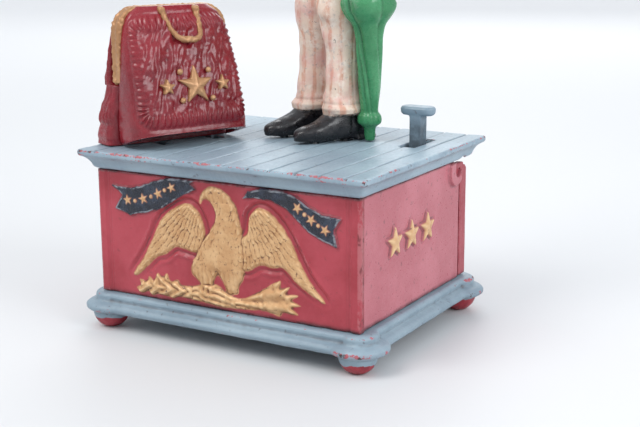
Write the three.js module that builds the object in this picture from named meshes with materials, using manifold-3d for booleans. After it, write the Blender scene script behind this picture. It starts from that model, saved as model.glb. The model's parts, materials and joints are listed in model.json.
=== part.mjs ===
// Cast-iron mechanical coin bank: a strongbox with a plank-cut lid, a standing gentleman with an umbrella and a
// travelling satchel. Pressing the T-headed lever lowers the gentleman's right arm, opens the satchel so that the coin
// drops through it into the box, and wags his bearded jaw. Units are millimetres, +Z is up, +X is the box's right-hand
// end and -Y its front. The origin is on the table, under the centre of the box.
import * as THREE from "three";
import { mergeVertices } from "three/addons/utils/BufferGeometryUtils.js";
import Module from "manifold-3d";

const wasm = await Module();
wasm.setup();

// ---------- driving dimensions ----------
const GAP = 0.3; // air between two castings that touch
const FIT = 0.06; // radial running clearance of a shaft
const WALL = 3; // thickness of the box's side castings
const BOX_X = 59; // half length of the box walls
const BOX_Y = 46.7; // half depth of the box walls
const WALL_BOTTOM = 15; // top of the base casting, where the walls stand
const WALL_TOP = 65.5;
const FOOT_R = 7.5;
const FOOT_X = 57;
const FOOT_Y = 44.6;
const LID_X = 64.6; // half length of the lid at its top edge
const LID_Y = 53.2; // half depth of the lid at its top edge
const LID_TOP = 73.5;
const LID_UNDER = 69.5; // underside of the lid's flat web

const SHAFT_Y = -14; // rocker shaft, along X, hung under the lid
const SHAFT_Z = 50;
const SHAFT_R = 2;
const STEM_X = 48; // press lever's stem
const STEM_Y = 22;
const SLOT = { x: 47.4, y: 22.8, w: 7.2, l: 20.5 };

const HINGE_Y = 36.2; // rear door's trunnions
const HINGE_Z = 61.3;
const TRUNNION_R = 2.8;
const DOOR_TOP = 62.3;

const FIGURE_AT = [8.7, 19.5]; // between the ankles
const FIGURE_TURN = -30; // degrees about Z; the figure's own front is -Y
const ANKLE = { x: 9.8, y: 1.5 };
const SHOULDER = { x: 17.5, y: 2, h: 138 };
const CRANK_R = 8.3;
const CRANK_REST = 22; // degrees above level
const ARM_REST = 8; // degrees above level
const ROD_R = 1.25;
const JAW = { y: 0, h: 169 };

const SATCHEL_AT = [-51.2, -40.9]; // left end of the front half's foot
const SATCHEL_TURN = 66; // degrees about Z; the satchel's length runs along its own X, its face looks to its own -Y
const SATCHEL_L = 51;
const SATCHEL_H = 55;
const SATCHEL_PIN_Z = 66;

const LOCK_Z = 31;

// ---------- materials ----------
const paint = (color, roughness = 0.55) =>
  new THREE.MeshStandardMaterial({ color, roughness, metalness: 0 });
const steel = (color = 0x8b8f93) =>
  new THREE.MeshStandardMaterial({ color, roughness: 0.4, metalness: 0.9 });
const RED = paint(0xa8434c);
const BLUE_GREY = paint(0x93a9b8, 0.5);
const CARPET_RED = paint(0x8f2a33, 0.4);
const COAT = paint(0x3f3b45);
const GREEN = paint(0x2f8f4e, 0.35);
const FLESH = paint(0xd8a284);
const GREY_BEARD = paint(0xb9b4ab);
const BARE_STEEL = steel();
const BRASS = steel(0xb08d45);

// ---------- solids ----------
function toSolid(geometry) {
  const g = geometry.index ? geometry.toNonIndexed() : geometry.clone();
  g.deleteAttribute("normal");
  g.deleteAttribute("uv");
  const merged = mergeVertices(g, 1e-3);
  return new wasm.Manifold(
    new wasm.Mesh({
      numProp: 3,
      vertProperties: merged.attributes.position.array,
      triVerts: new Uint32Array(merged.index.array),
    }),
  );
}

function toMesh(name, solid, material) {
  const m = solid.getMesh();
  const g = new THREE.BufferGeometry()
    .setAttribute("position", new THREE.BufferAttribute(m.vertProperties, 3))
    .setIndex(new THREE.BufferAttribute(m.triVerts, 1));
  g.computeVertexNormals();
  const mesh = new THREE.Mesh(g, material);
  mesh.name = name;
  return mesh;
}

const join = (...solids) => solids.reduce((a, b) => a.add(b));
const cut = (body, ...tools) => tools.reduce((a, b) => a.subtract(b), body);

// A box from its low corner to its high corner.
function block(low, high) {
  const size = high.map((v, i) => v - low[i]);
  const g = new THREE.BoxGeometry(...size);
  g.translate(...low.map((v, i) => v + size[i] / 2));
  return toSolid(g);
}

// A cylinder of length l centred at c, along the axis named.
function rod(axis, r, l, c, sides = 20, r2 = r) {
  const g = new THREE.CylinderGeometry(r2, r, l, sides);
  if (axis === "x") g.rotateZ(-Math.PI / 2);
  if (axis === "z") g.rotateX(Math.PI / 2);
  g.translate(...c);
  return toSolid(g);
}

function ball(radii, c, sides = 20) {
  const g = new THREE.SphereGeometry(1, sides, Math.round(sides * 0.6));
  g.rotateX(Math.PI / 2);
  g.scale(...radii);
  g.translate(...c);
  return toSolid(g);
}

// A profile of [radius, height] points turned about Z, then scaled to an oval.
function turned(profile, c, sides = 20, scale = [1, 1]) {
  const g = new THREE.LatheGeometry(
    profile.map(([r, h]) => new THREE.Vector2(r, h)),
    sides,
  );
  g.rotateX(Math.PI / 2);
  g.scale(scale[0], scale[1], 1);
  g.translate(...c);
  return toSolid(g);
}

// A flat outline [[a, b], ...] extruded by t. Plane "xy" rises along Z, plane "xz" goes back along +Y from y,
// and plane "yz" goes along +X from x.
function plate(outline, t, plane = "xy", at = 0) {
  const shape = new THREE.Shape(outline.map(([a, b]) => new THREE.Vector2(a, b)));
  const g = new THREE.ExtrudeGeometry(shape, { depth: t, bevelEnabled: false });
  if (plane === "xy") g.translate(0, 0, at);
  if (plane === "xz") {
    g.rotateX(Math.PI / 2);
    g.translate(0, at + t, 0);
  }
  if (plane === "yz") {
    g.applyMatrix4(
      new THREE.Matrix4().makeBasis(
        new THREE.Vector3(0, 1, 0),
        new THREE.Vector3(0, 0, 1),
        new THREE.Vector3(1, 0, 0),
      ),
    );
    g.translate(at, 0, 0);
  }
  return toSolid(g);
}

// A smooth outline through the points given.
const smooth = (points, n = 3) =>
  new THREE.CatmullRomCurve3(
    points.map(([a, b]) => new THREE.Vector3(a, b, 0)),
    true,
    "centripetal",
  )
    .getPoints(points.length * n)
    .slice(0, -1)
    .map((p) => [p.x, p.y]);

// Rings of points, low to high, skinned into one closed body. Each ring runs anticlockwise seen from the last ring.
function skin(rings) {
  const n = rings[0].length;
  const position = rings.flat(2);
  const index = [];
  for (let i = 0; i + 1 < rings.length; i++)
    for (let j = 0; j < n; j++) {
      const a = i * n + j;
      const b = i * n + ((j + 1) % n);
      index.push(a, b, b + n, a, b + n, a + n);
    }
  const top = (rings.length - 1) * n;
  for (let j = 1; j + 1 < n; j++) {
    index.push(0, j + 1, j);
    index.push(top, top + j, top + j + 1);
  }
  const g = new THREE.BufferGeometry()
    .setAttribute("position", new THREE.Float32BufferAttribute(position, 3))
    .setIndex(index);
  return toSolid(g);
}

// A rounded rectangle at height z, from its half sizes and centre.
function roundedRing(hx, hy, r, z, cx = 0, cy = 0, n = 4) {
  const corners = [
    [hx - r, hy - r, 0],
    [r - hx, hy - r, 90],
    [r - hx, r - hy, 180],
    [hx - r, r - hy, 270],
  ];
  return corners.flatMap(([x, y, from]) =>
    Array.from({ length: n + 1 }, (_, i) => {
      const a = THREE.MathUtils.degToRad(from + (90 * i) / n);
      return [cx + x + r * Math.cos(a), cy + y + r * Math.sin(a), z];
    }),
  );
}

// A round wire along the points given.
function wire(points, r, steps, sides = 8, tension = 0.1) {
  const path = new THREE.CatmullRomCurve3(
    points.map((p) => new THREE.Vector3(...p)),
    false,
    "catmullrom",
    tension,
  );
  const section = new THREE.Shape();
  section.absarc(0, 0, r, 0, 2 * Math.PI);
  const g = new THREE.ExtrudeGeometry(section, {
    steps,
    curveSegments: sides / 2,
    extrudePath: path,
  });
  return toSolid(g);
}

// A straight round bar from p to q.
function bar(p, q, r, sides = 12) {
  const a = new THREE.Vector3(...p);
  const d = new THREE.Vector3(...q).sub(a);
  const g = new THREE.CylinderGeometry(r, r, d.length(), sides);
  g.translate(0, d.length() / 2, 0);
  g.applyQuaternion(new THREE.Quaternion().setFromUnitVectors(new THREE.Vector3(0, 1, 0), d.normalize()));
  g.translate(...p);
  return toSolid(g);
}

// Straight bars through the points given, with a ball at each bend.
const bent = (points, r, sides = 12) =>
  join(
    ...points.slice(1).map((q, i) => bar(points[i], q, r, sides)),
    ...points.slice(1, -1).map((q) => ball([r * 1.02, r * 1.02, r * 1.02], q, sides)),
  );

// ---------- the box ----------
// One casting: a moulded plate with round lobes over four ball feet, recessed underneath.
function basePlate() {
  const tiers = [
    // [outward offset from the wall, height]
    [3.6, 7],
    [5.4, 8],
    [5.6, 9.6],
    [4.6, 10.8],
    [2.6, 11.6],
    [2.4, 12.4],
    [2.9, 13.4],
    [2.4, 14.6],
    [1.4, WALL_BOTTOM],
  ];
  const moulding = skin(tiers.map(([o, z]) => roundedRing(BOX_X + o, BOX_Y + o, 3, z)));
  const lobe = [
    [0, 7],
    [9.4, 7],
    [11.4, 8],
    [11.6, 9.6],
    [10.2, 10.8],
    [7.6, 11.6],
    [7.2, 12.4],
    [7.6, 13.4],
    [7, 14.6],
    [5.6, WALL_BOTTOM],
    [0, WALL_BOTTOM],
  ];
  let body = moulding;
  for (const sx of [-1, 1])
    for (const sy of [-1, 1]) {
      body = body.add(turned(lobe, [sx * (FOOT_X - 0.4), sy * (FOOT_Y - 1.8), 0], 16));
      body = body.add(ball([FOOT_R, FOOT_R, FOOT_R], [sx * FOOT_X, sy * FOOT_Y, FOOT_R - 0.4], 16));
    }
  const recess = skin([
    roundedRing(BOX_X - 16, BOX_Y - 1, 3, 5),
    roundedRing(BOX_X - 16, BOX_Y - 1, 3, WALL_BOTTOM - 4),
  ]);
  const recessEnds = skin([
    roundedRing(BOX_X - 1, BOX_Y - 18, 3, 5),
    roundedRing(BOX_X - 1, BOX_Y - 18, 3, WALL_BOTTOM - 4),
  ]);
  body = cut(body, recess, recessEnds);
  // locating rib inside the walls, a peg for the return spring, the door's catch and two screw holes
  const rib = cut(
    block([-55, -42.8, WALL_BOTTOM - 1], [55, 34, WALL_BOTTOM + 2]),
    block([-53, -40.8, WALL_BOTTOM - 2], [53, 35, WALL_BOTTOM + 3]),
  );
  const peg = rod("z", 2.4, 6, [STEM_X, 8, WALL_BOTTOM + 2]);
  const hook = block([-9, 34.8, WALL_BOTTOM - 1], [9, 37.8, WALL_BOTTOM + 6]);
  body = join(body, rib, peg, hook);
  const floor = block([-80, -80, -5], [80, 80, 0]);
  const screws = TIE_SCREWS.flatMap(([x, y]) => [
    rod("z", 2.5, 30, [x, y, WALL_BOTTOM]),
    rod("z", 5.2, 11, [x, y, 5.5]),
  ]);
  return cut(body, floor, ...screws);
}

const TIE_SCREWS = [
  [-47, 27],
  [46, -34],
];

// Slotted long screw that pulls the lid down on to the walls, driven from under the base.
function tieScrew([x, y]) {
  const head = cut(
    rod("z", 4.6, 3, [x, y, 9.2]),
    block([x - 6, y - 0.6, 7], [x + 6, y + 0.6, 8.9]),
  );
  return head.add(rod("z", 2.1, 54, [x, y, 37.5]));
}

// Outline points on the front casting, in X and Z.
const EAGLE = {
  left_wing: [
    [-8, 46], [-10.5, 52.5], [-14.5, 55.6], [-19, 55], [-24, 52], [-29, 47.5], [-33, 40], [-38, 31.5], [-43, 24.6],
    [-40.6, 24], [-35.5, 28.5], [-31, 32.5], [-26.5, 34.2], [-22.5, 37.4], [-17.5, 37.4], [-13, 36.6], [-9, 38],
  ],
  right_wing: [
    [8, 44], [11.2, 47.5], [12.6, 54], [16.5, 57.4], [21, 56.4], [26.5, 51.6], [30.5, 46], [34, 39], [38.5, 32],
    [44.8, 24.6], [38.5, 27.2], [32, 31.2], [27, 35.4], [22, 35.2], [17, 35.4], [11, 32.4], [6, 34],
  ],
  body: [
    [-8.8, 59.5], [-7.6, 61.8], [-4.4, 63.2], [-0.5, 62.8], [3.2, 60.6], [6.2, 57], [8, 52], [9.4, 45], [10.4, 38],
    [7.6, 31.6], [3.6, 26], [-1, 23.4], [-5.4, 24.6], [-9.6, 23.6], [-14, 24.6], [-14.2, 29.5], [-12, 36],
    [-9, 42], [-4.6, 47.5], [-3, 52.6], [-4.4, 56.6], [-7.4, 57.4],
  ],
  perch: [
    [-42, 18.6], [-38.4, 21.6], [-33.6, 22.4], [-31.2, 25.6], [-27, 25.8], [-24.4, 23.4], [-20, 23.6], [-14, 22.6],
    [-8, 25.2], [-2, 24.8], [3, 21.8], [9, 21.2], [16, 25.4], [24.6, 29.6], [26.8, 28], [24.4, 25.6], [30.8, 24],
    [30, 20.4], [25.4, 18.2], [18, 18.4], [10, 17.4], [0, 16.6], [-10, 17.2], [-20, 17.8], [-30, 17.2], [-36, 17],
  ],
};
const BANNERS = {
  left: [
    [-52, 59.4], [-46.6, 56], [-50.6, 50.2], [-43, 48.2], [-35, 50], [-27, 52.8], [-19.5, 57.6], [-11.4, 61.6],
    [-14, 63.6], [-11.6, 64.8], [-18, 64.9], [-25, 64.6], [-32, 62.6], [-38, 60.2], [-44, 59],
  ],
  right: [
    [9.6, 60.2], [12, 63.4], [18, 64.8], [25, 64.8], [32, 63.8], [38, 60.4], [44, 57.8], [51.6, 57.2],
    [48.6, 52.6], [50.2, 46.4], [43.6, 48.2], [37.6, 51], [33, 55], [28.4, 58.6], [22, 60.8], [15.6, 61.2],
  ],
};

function frontPlate() {
  const outer = -BOX_Y;
  const panel = block([-BOX_X, outer, WALL_BOTTOM + GAP], [BOX_X, outer + WALL, WALL_TOP - GAP]);
  const relief = [
    ...Object.values(EAGLE).map((o) => plate(smooth(o, 2), 2.2, "xz", outer - 1.6)),
    ...Object.values(BANNERS).map((o) => plate(o, 1.7, "xz", outer - 1.2)),
  ];
  const stiles = [-1, 1].map((s) =>
    block(
      [s > 0 ? BOX_X - 3.6 : -BOX_X, outer - 0.5, WALL_BOTTOM + 1.4],
      [s > 0 ? BOX_X : 3.6 - BOX_X, outer + 0.5, WALL_TOP - GAP],
    ),
  );
  return join(panel, ...relief, ...stiles);
}

const EAR_Y = 34.6;
const SIDE_REAR = 39.4;

// An end casting: flat, with a row of raised stars and an open half-round ear that carries a trunnion.
function sidePlate(s) {
  const inner = BOX_X - WALL - GAP;
  const outer = BOX_X - GAP;
  const front = -BOX_Y + WALL + GAP;
  const panel = block([inner, front, WALL_BOTTOM + GAP], [outer, SIDE_REAR, WALL_TOP - GAP]);
  const ear = rod("x", 6.4, WALL + 1.4, [inner + (WALL + 1.4) / 2, EAR_Y, HINGE_Z], 24);
  const room = join(
    rod("x", TRUNNION_R + FIT, 12, [outer, HINGE_Y, HINGE_Z], 20),
    block([inner - 3, HINGE_Y - TRUNNION_R - FIT, HINGE_Z], [outer + 5, HINGE_Y + 12, WALL_TOP + 3]),
  );
  const stars = [-19.5, -5.5, 8.5].map((y) =>
    plate(star(y, 43.4, 6.2, 2.7), 1.6, "yz", outer - 0.5),
  );
  const trimmed = block([inner - 3, EAR_Y - 20, WALL_TOP - GAP], [outer + 5, EAR_Y + 20, WALL_TOP + 20]);
  const behind = block([inner - 3, SIDE_REAR, 50], [outer + 5, SIDE_REAR + 9, 80]);
  const body = cut(join(panel, ear, ...stars), room, trimmed, behind);
  return s > 0 ? body : body.mirror([1, 0, 0]);
}

function star(a, b, outerR, innerR) {
  return Array.from({ length: 10 }, (_, i) => {
    const t = Math.PI / 2 + (i * Math.PI) / 5;
    const r = i % 2 ? innerR : outerR;
    return [a + r * Math.cos(t), b + r * Math.sin(t)];
  });
}

// The rear casting is the coin door: a flanged panel hung on two trunnions that lie in the ends' ears.
function rearDoor() {
  const bottom = WALL_BOTTOM + 0.6;
  const inner = SIDE_REAR + 1;
  const tray = cut(
    plate(
      [[inner, bottom], [BOX_Y, bottom], [BOX_Y, DOOR_TOP - 1.5], [BOX_Y - 1.5, DOOR_TOP], [inner, DOOR_TOP]],
      2 * (BOX_X - GAP),
      "yz",
      GAP - BOX_X,
    ),
    block([-BOX_X + 4, inner - 1, bottom + 6.4], [BOX_X - 4, BOX_Y - WALL, DOOR_TOP - 4]),
    block([-12, inner - 1, bottom - 1], [12, BOX_Y - WALL, bottom + 8]),
  );
  const border = cut(
    block([-BOX_X + 6, BOX_Y - 1, bottom + 5], [BOX_X - 6, BOX_Y + 0.7, DOOR_TOP - 5]),
    block([-BOX_X + 8, BOX_Y - 2, bottom + 7], [BOX_X - 8, BOX_Y + 2, DOOR_TOP - 7]),
  );
  const arms = [-1, 1].flatMap((s) => {
    const x = s * (BOX_X - 1.8);
    return [
      rod("x", TRUNNION_R, 3, [x, HINGE_Y, HINGE_Z], 20),
      block([x - 1.5, HINGE_Y, HINGE_Z + 0.3], [x + 1.5, inner + 3, HINGE_Z + 2.4]),
      block([x - 1.5, inner, DOOR_TOP - 6], [x + 1.5, inner + 3, HINGE_Z + 2.4]),
    ];
  });
  const hole = rod("y", 5, 20, [0, BOX_Y, LOCK_Z]);
  return cut(join(tray, border, ...arms), hole);
}

const lockBarrel = () =>
  cut(
    join(
      rod("y", 4.6, 10, [0, BOX_Y - 4, LOCK_Z], 24),
      rod("y", 7, 1.6, [0, BOX_Y + 1.1, LOCK_Z], 24),
    ),
    rod("y", 2.8 + FIT, 30, [0, BOX_Y, LOCK_Z], 20),
  );
const lockPlug = () =>
  cut(
    join(
      rod("y", 2.8, 14.4, [0, BOX_Y - 4.9, LOCK_Z], 20),
      rod("y", 1.6, 5, [0, BOX_Y - 13.4, LOCK_Z], 12),
    ),
    block([-0.5, BOX_Y - 4, LOCK_Z - 2], [0.5, BOX_Y + 5, LOCK_Z + 2]),
  );
const lockNut = () =>
  cut(rod("y", 6.6, 2.2, [0, BOX_Y - 7, LOCK_Z], 6), rod("y", 4.9, 9, [0, BOX_Y - 7, LOCK_Z], 24));
function lockCam() {
  const y = BOX_Y - 13.7;
  const arm = join(
    rod("y", 4, 2, [0, y, LOCK_Z], 16),
    block([0, y - 1, LOCK_Z - 3], [13.5, y + 1, LOCK_Z + 3]),
  );
  return cut(arm, rod("y", 1.7, 9, [0, y, LOCK_Z], 12));
}

// ---------- the lid ----------
const toSatchel = (solid) => solid.rotate([0, 0, SATCHEL_TURN]).translate([...SATCHEL_AT, 0]);
const toFigure = (solid) => solid.rotate([0, 0, FIGURE_TURN]).translate([...FIGURE_AT, LID_TOP]);
const PLANKS = [-55.5, -45.3, -35.2, -25, -15, -4.9, 5.2, 15.3, 25.4, 35.6, 45.8, 56];

function lid() {
  const tiers = [
    // [X half size, Y half size, height]
    [BOX_X + 0.6, BOX_Y + 0.6, WALL_TOP],
    [BOX_X + 1.6, BOX_Y + 1.8, WALL_TOP + 0.7],
    [BOX_X + 2, BOX_Y + 2.4, WALL_TOP + 2.2],
    [BOX_X + 2.8, BOX_Y + 3.6, WALL_TOP + 3.8],
    [LID_X - 1.8, LID_Y - 1.8, WALL_TOP + 4.8],
    [LID_X - 0.5, LID_Y - 0.5, WALL_TOP + 5.4],
    [LID_X, LID_Y, WALL_TOP + 6],
    [LID_X, LID_Y, LID_TOP - 0.4],
    [LID_X - 0.4, LID_Y - 0.4, LID_TOP],
  ];
  const outside = skin(tiers.map(([x, y, z]) => roundedRing(x, y, 1.2, z, 0, 0, 2)));
  const inside = block([4 - BOX_X, 4 - BOX_Y, 60], [BOX_X - 4, BOX_Y - 6, LID_UNDER]);
  const grooves = PLANKS.map((x) =>
    block([x - 0.35, -LID_Y - 1, LID_TOP - 0.6], [x + 0.35, LID_Y + 1, LID_TOP + 1]),
  );
  const slot = block(
    [SLOT.x - SLOT.w / 2, SLOT.y - SLOT.l / 2, 60],
    [SLOT.x + SLOT.w / 2, SLOT.y + SLOT.l / 2, 80],
  );
  const notches = [-1, 1].map((s) => rod("x", 3.7, 16, [s * (BOX_X + 2), 39.2, HINGE_Z + 1.7], 20));
  const doorRoom = block([-BOX_X - 0.1, SIDE_REAR - 1, 60], [BOX_X + 0.1, BOX_Y - 0.5, LID_UNDER]);
  const hangers = [40, -22].map((x) =>
    cut(
      block([x - 2, SHAFT_Y - 5, SHAFT_Z - 5], [x + 2, SHAFT_Y + 5, LID_UNDER + 1]),
      rod("x", SHAFT_R + FIT, 9, [x, SHAFT_Y, SHAFT_Z], 16),
    ),
  );
  const bosses = TIE_SCREWS.map(([x, y]) => rod("z", 5, 8, [x, y, LID_UNDER - 3]));
  const bossHoles = TIE_SCREWS.map(([x, y]) => rod("z", 2.4, 12, [x, y, LID_UNDER - 5]));
  const coinSlot = toSatchel(block([13, 2.6, 60], [43, 9, 80]));
  const tailSlots = SATCHEL_TAILS.map((x) => toSatchel(block([x - 2.6, -5, 60], [x + 2.6, 3.4, 80])));
  const pinLugs = SATCHEL_LUGS.map((x) =>
    toSatchel(
      cut(
        block([x - 1.5, -3.2, SATCHEL_PIN_Z - 3.6], [x + 1.5, 3.2, LID_UNDER + 1]),
        rod("x", 1.5 + FIT, 9, [x, 0, SATCHEL_PIN_Z], 12),
      ),
    ),
  );
  const pinRelief = toSatchel(block([-1, -3.4, 60], [66, 3.4, LID_UNDER]));
  const screwHoles = [
    ...FIGURE_SCREWS.map(([x, y]) => toFigure(rod("z", 1.7, 20, [x, y, 0]))),
    ...SATCHEL_SCREWS.map(([x, y]) => toSatchel(rod("z", 1.7, 30, [x, y, LID_TOP]))),
  ];
  const rodHole = toFigure(rod("z", 3, 20, [ANKLE.x, ANKLE.y, 0]));
  let body = cut(outside, inside, doorRoom, pinRelief);
  body = join(body, ...hangers, ...bosses, ...pinLugs);
  return cut(body, ...grooves, slot, ...notches, ...bossHoles, coinSlot, ...tailSlots, ...screwHoles, rodHole);
}

// ---------- the press lever and its rocker ----------
function pressLever() {
  const head = skin([
    roundedRing(6.2, 2.9, 2.6, 85, STEM_X, STEM_Y),
    roundedRing(7.2, 3.4, 3.2, 85.9, STEM_X, STEM_Y),
    roundedRing(7.4, 3.6, 3.4, 87.6, STEM_X, STEM_Y),
    roundedRing(6.6, 3, 2.8, 88.6, STEM_X, STEM_Y),
  ]);
  const stem = block([STEM_X - 2.5, STEM_Y - 3, SHAFT_Z - 3], [STEM_X + 2.5, STEM_Y + 3, 86]);
  const bar = block([STEM_X - 2.5, SHAFT_Y, SHAFT_Z - 3], [STEM_X + 2.5, STEM_Y + 3, SHAFT_Z + 3]);
  const hub = rod("x", 5, 5, [STEM_X, SHAFT_Y, SHAFT_Z], 24);
  return cut(join(head, stem, bar, hub), rod("x", SHAFT_R + FIT, 9, [STEM_X, SHAFT_Y, SHAFT_Z], 16));
}

const rockerShaft = () => rod("x", SHAFT_R, 80, [12.5, SHAFT_Y, SHAFT_Z], 16);
const LEFT_ANKLE = (() => {
  const a = THREE.MathUtils.degToRad(FIGURE_TURN);
  return [
    FIGURE_AT[0] + ANKLE.x * Math.cos(a) - ANKLE.y * Math.sin(a),
    FIGURE_AT[1] + ANKLE.x * Math.sin(a) + ANKLE.y * Math.cos(a),
  ];
})();
// The satchel's link hangs between the crank on its hinge pin and its arm on the rocker.
const SATCHEL_CRANK_X = 57.5;
const SATCHEL_CRANK_R = 18.6;
const LINK_AT = (() => {
  const a = THREE.MathUtils.degToRad(SATCHEL_TURN);
  return [
    SATCHEL_AT[0] + SATCHEL_CRANK_X * Math.cos(a) + SATCHEL_CRANK_R * Math.sin(a),
    SATCHEL_AT[1] + SATCHEL_CRANK_X * Math.sin(a) - SATCHEL_CRANK_R * Math.cos(a),
  ];
})();

// An arm on the rocker shaft whose forked end straddles a vertical wire at [x, y].
function rockerArm([x, y]) {
  const bar = block([x - 2, SHAFT_Y, SHAFT_Z - 2.2], [x + 2, y + 1, SHAFT_Z + 2.2]);
  const eye = rod("z", 4.6, 4.4, [x, y, SHAFT_Z], 20);
  const hub = rod("x", 4.6, 5, [x, SHAFT_Y, SHAFT_Z], 20);
  const room = join(
    rod("z", 2.2, 9, [x, y - 0.8, SHAFT_Z], 16),
    block([x - 2.2, y - 0.8, SHAFT_Z - 5], [x + 2.2, y + 9, SHAFT_Z + 5]),
  );
  return cut(join(bar, eye, hub), room, rod("x", SHAFT_R + FIT, 9, [x, SHAFT_Y, SHAFT_Z], 16));
}

// Compression spring between the base's peg and the lever's bar.
function returnSpring() {
  const turns = 7;
  const low = WALL_BOTTOM + 1;
  const high = SHAFT_Z - 3 - 0.5;
  class Helix extends THREE.Curve {
    getPoint(t) {
      const a = 2 * Math.PI * turns * t;
      return new THREE.Vector3(
        STEM_X + 3.8 * Math.cos(a),
        8 + 3.8 * Math.sin(a),
        low + (high - low) * t,
      );
    }
  }
  const section = new THREE.Shape();
  section.absarc(0, 0, 0.6, 0, 2 * Math.PI);
  return toSolid(
    new THREE.ExtrudeGeometry(section, { steps: 77, curveSegments: 3, extrudePath: new Helix() }),
  );
}

// ---------- the figure, in its own frame: soles at height 0, facing -Y ----------
const SPLIT_Y = 2;
const COLLAR_H = 150.6;
const FIGURE_SCREWS = [
  [ANKLE.x, ANKLE.y - 14],
  [-ANKLE.x, -ANKLE.y - 14],
];
const CRANK_X = 6;
const ROD_TOP = [2.8, SHOULDER.y - CRANK_R * Math.cos(THREE.MathUtils.degToRad(CRANK_REST))];
const CRANK_TIP_H = SHOULDER.h + CRANK_R * Math.sin(THREE.MathUtils.degToRad(CRANK_REST));
const ROD_PATH = [
  [ANKLE.x, ANKLE.y, 12],
  [...ROD_TOP, 112],
];

function shoe(x, y) {
  const rings = [
    // [half width, toe reach, heel reach, height]
    [5.2, 22.4, 12, 0],
    [5.8, 23.4, 13, 1.2],
    [5.7, 23.2, 13, 4],
    [5.2, 19.6, 12.6, 7],
    [4.8, 13, 11.6, 10.6],
    [4.6, 8, 10.4, 15],
  ];
  return skin(
    rings.map(([w, toe, heel, h]) =>
      roundedRing(w, (toe + heel) / 2, w * 0.92, h, x, y + (heel - toe) / 2, 4),
    ),
  );
}

function leg(s) {
  const rings = [
    // [X, Y, half width, half depth, height]
    [ANKLE.x, 0, 7.8, 8.8, 11.6],
    [ANKLE.x, 0, 7.2, 7.8, 16],
    [ANKLE.x - 0.2, 0, 6.2, 6.8, 26],
    [ANKLE.x - 0.6, 0.4, 6.4, 7, 36],
    [ANKLE.x - 0.8, -0.4, 7.4, 8, 47],
    [ANKLE.x - 1, -0.8, 8, 8.8, 53],
    [ANKLE.x - 1.8, 0, 7.8, 8.4, 62],
    [ANKLE.x - 2, 0.2, 8.6, 9.2, 76],
    [ANKLE.x - 2.2, 0.4, 9, 9.8, 92],
    [ANKLE.x - 3.4, 0.4, 8, 9, 100],
  ];
  return skin(
    rings.map(([x, y, hw, hd, h]) =>
      roundedRing(hw, hd, hw * 0.9, h, s * x, y + s * ANKLE.y * Math.max(0, 1 - h / 70), 3),
    ),
  );
}

function torso() {
  const rings = [
    // [half width, half depth, height, Y]
    [15.5, 10.5, 84, 0.6],
    [17, 11.6, 92, 0.6],
    [15.6, 10.8, 102, 0.4],
    [15, 10.4, 110, 0],
    [16.4, 11.6, 122, -0.2],
    [18.4, 12.4, 134, 0],
    [18, 11.6, 142, 0.4],
    [13, 9, 148, 0.6],
    [6.4, 6, 151, 0.6],
  ];
  return skin(rings.map(([x, y, h, cy]) => roundedRing(x, y, y * 0.8, h, 0, cy, 3)));
}

// Two coat tails that hang behind the legs to the height of the knees.
function coatTails() {
  return skin([
    roundedRing(9, 1.4, 1.2, 50, 0, 13.4, 2),
    roundedRing(13, 2, 1.6, 66, 0, 12.6, 2),
    roundedRing(16, 3, 2, 84, 0, 10.4, 2),
    roundedRing(17, 4, 2.4, 98, 0, 8, 2),
    roundedRing(15, 4, 2.4, 106, 0, 6, 2),
  ]);
}

// Left arm bent at the elbow, with the hand closed on the umbrella's handle.
function leftArm() {
  const upper = wire([[17, 1, 141], [21.4, 2.6, 130], [23.2, 4, 116]], 6, 5, 12);
  const fore = wire([[23.2, 4, 116], [23, 2, 108], [23.6, 1.6, 103]], 5.2, 3, 12);
  const elbow = ball([6, 6.2, 6], [23, 3.8, 116], 14);
  const hand = ball([5.6, 5.8, 5.4], [UMBRELLA_HAND[0], UMBRELLA_HAND[1] - 0.4, 98.5], 16);
  return join(upper, elbow, fore, hand);
}

const UMBRELLA_TIP = [18.6, 8.2];
const UMBRELLA_HAND = [24.4, 3.4];

function head() {
  const skull = ball([9.6, 11, 13.4], [0, -0.4, 170.4], 20);
  const neck = rod("z", 6, 14, [0, 0.8, 154], 16);
  const nose = ball([1.7, 2.8, 2.6], [0, -11.6, 168.6], 10);
  const ears = [-1, 1].map((s) => ball([1.6, 2.2, 3.2], [s * 9.6, 0.8, 169.4], 10));
  return join(skull, neck, nose, ...ears);
}

function hat() {
  const profile = [
    [0, 175],
    [13.6, 175],
    [16.4, 176],
    [16.4, 177.4],
    [12.4, 177.6],
    [11.2, 180],
    [11, 196],
    [12.4, 211],
    [12, 213],
    [0, 213.4],
  ];
  return turned(profile, [0, 0, 0], 24, [1, 1.1]);
}

// The hollow inside the two halves: the push rod's channel, room for the crank, and room for the jaw and its tail.
function figureHollow() {
  const channel = bent([[ANKLE.x, ANKLE.y, -4], ...ROD_PATH, [...ROD_TOP, 124]], 2.6, 12);
  const chest = block([-12, -9.4, 120], [12, 10.9, 142.4]);
  const tip = block([0, -8.9, 141], [8.4, 4, 144.8]);
  const shoulder = rod("x", 2 + FIT, 24, [-14, SHOULDER.y, SHOULDER.h], 16);
  const neck = join(block([-3, -3.4, 140], [3, 5.3, 166]), block([-3, -3.4, 140], [3, 10.4, 147.4]));
  const jaw = join(
    block([-9.2, -20, COLLAR_H], [9.2, JAW.y + 3.6, 162]),
    block([-9.2, -20, 161], [9.2, -1, 165.6]),
    block([-3.9, -8.4, 158], [3.9, 3.6, 172.4]),
  );
  return join(channel, chest, tip, shoulder, neck, jaw);
}

// [X, height, front end, back end]
const FIGURE_RIVETS = [
  [-8, 91, -11.9, 13.6],
  [9.4, 110, -11, 10.9],
];

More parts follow.
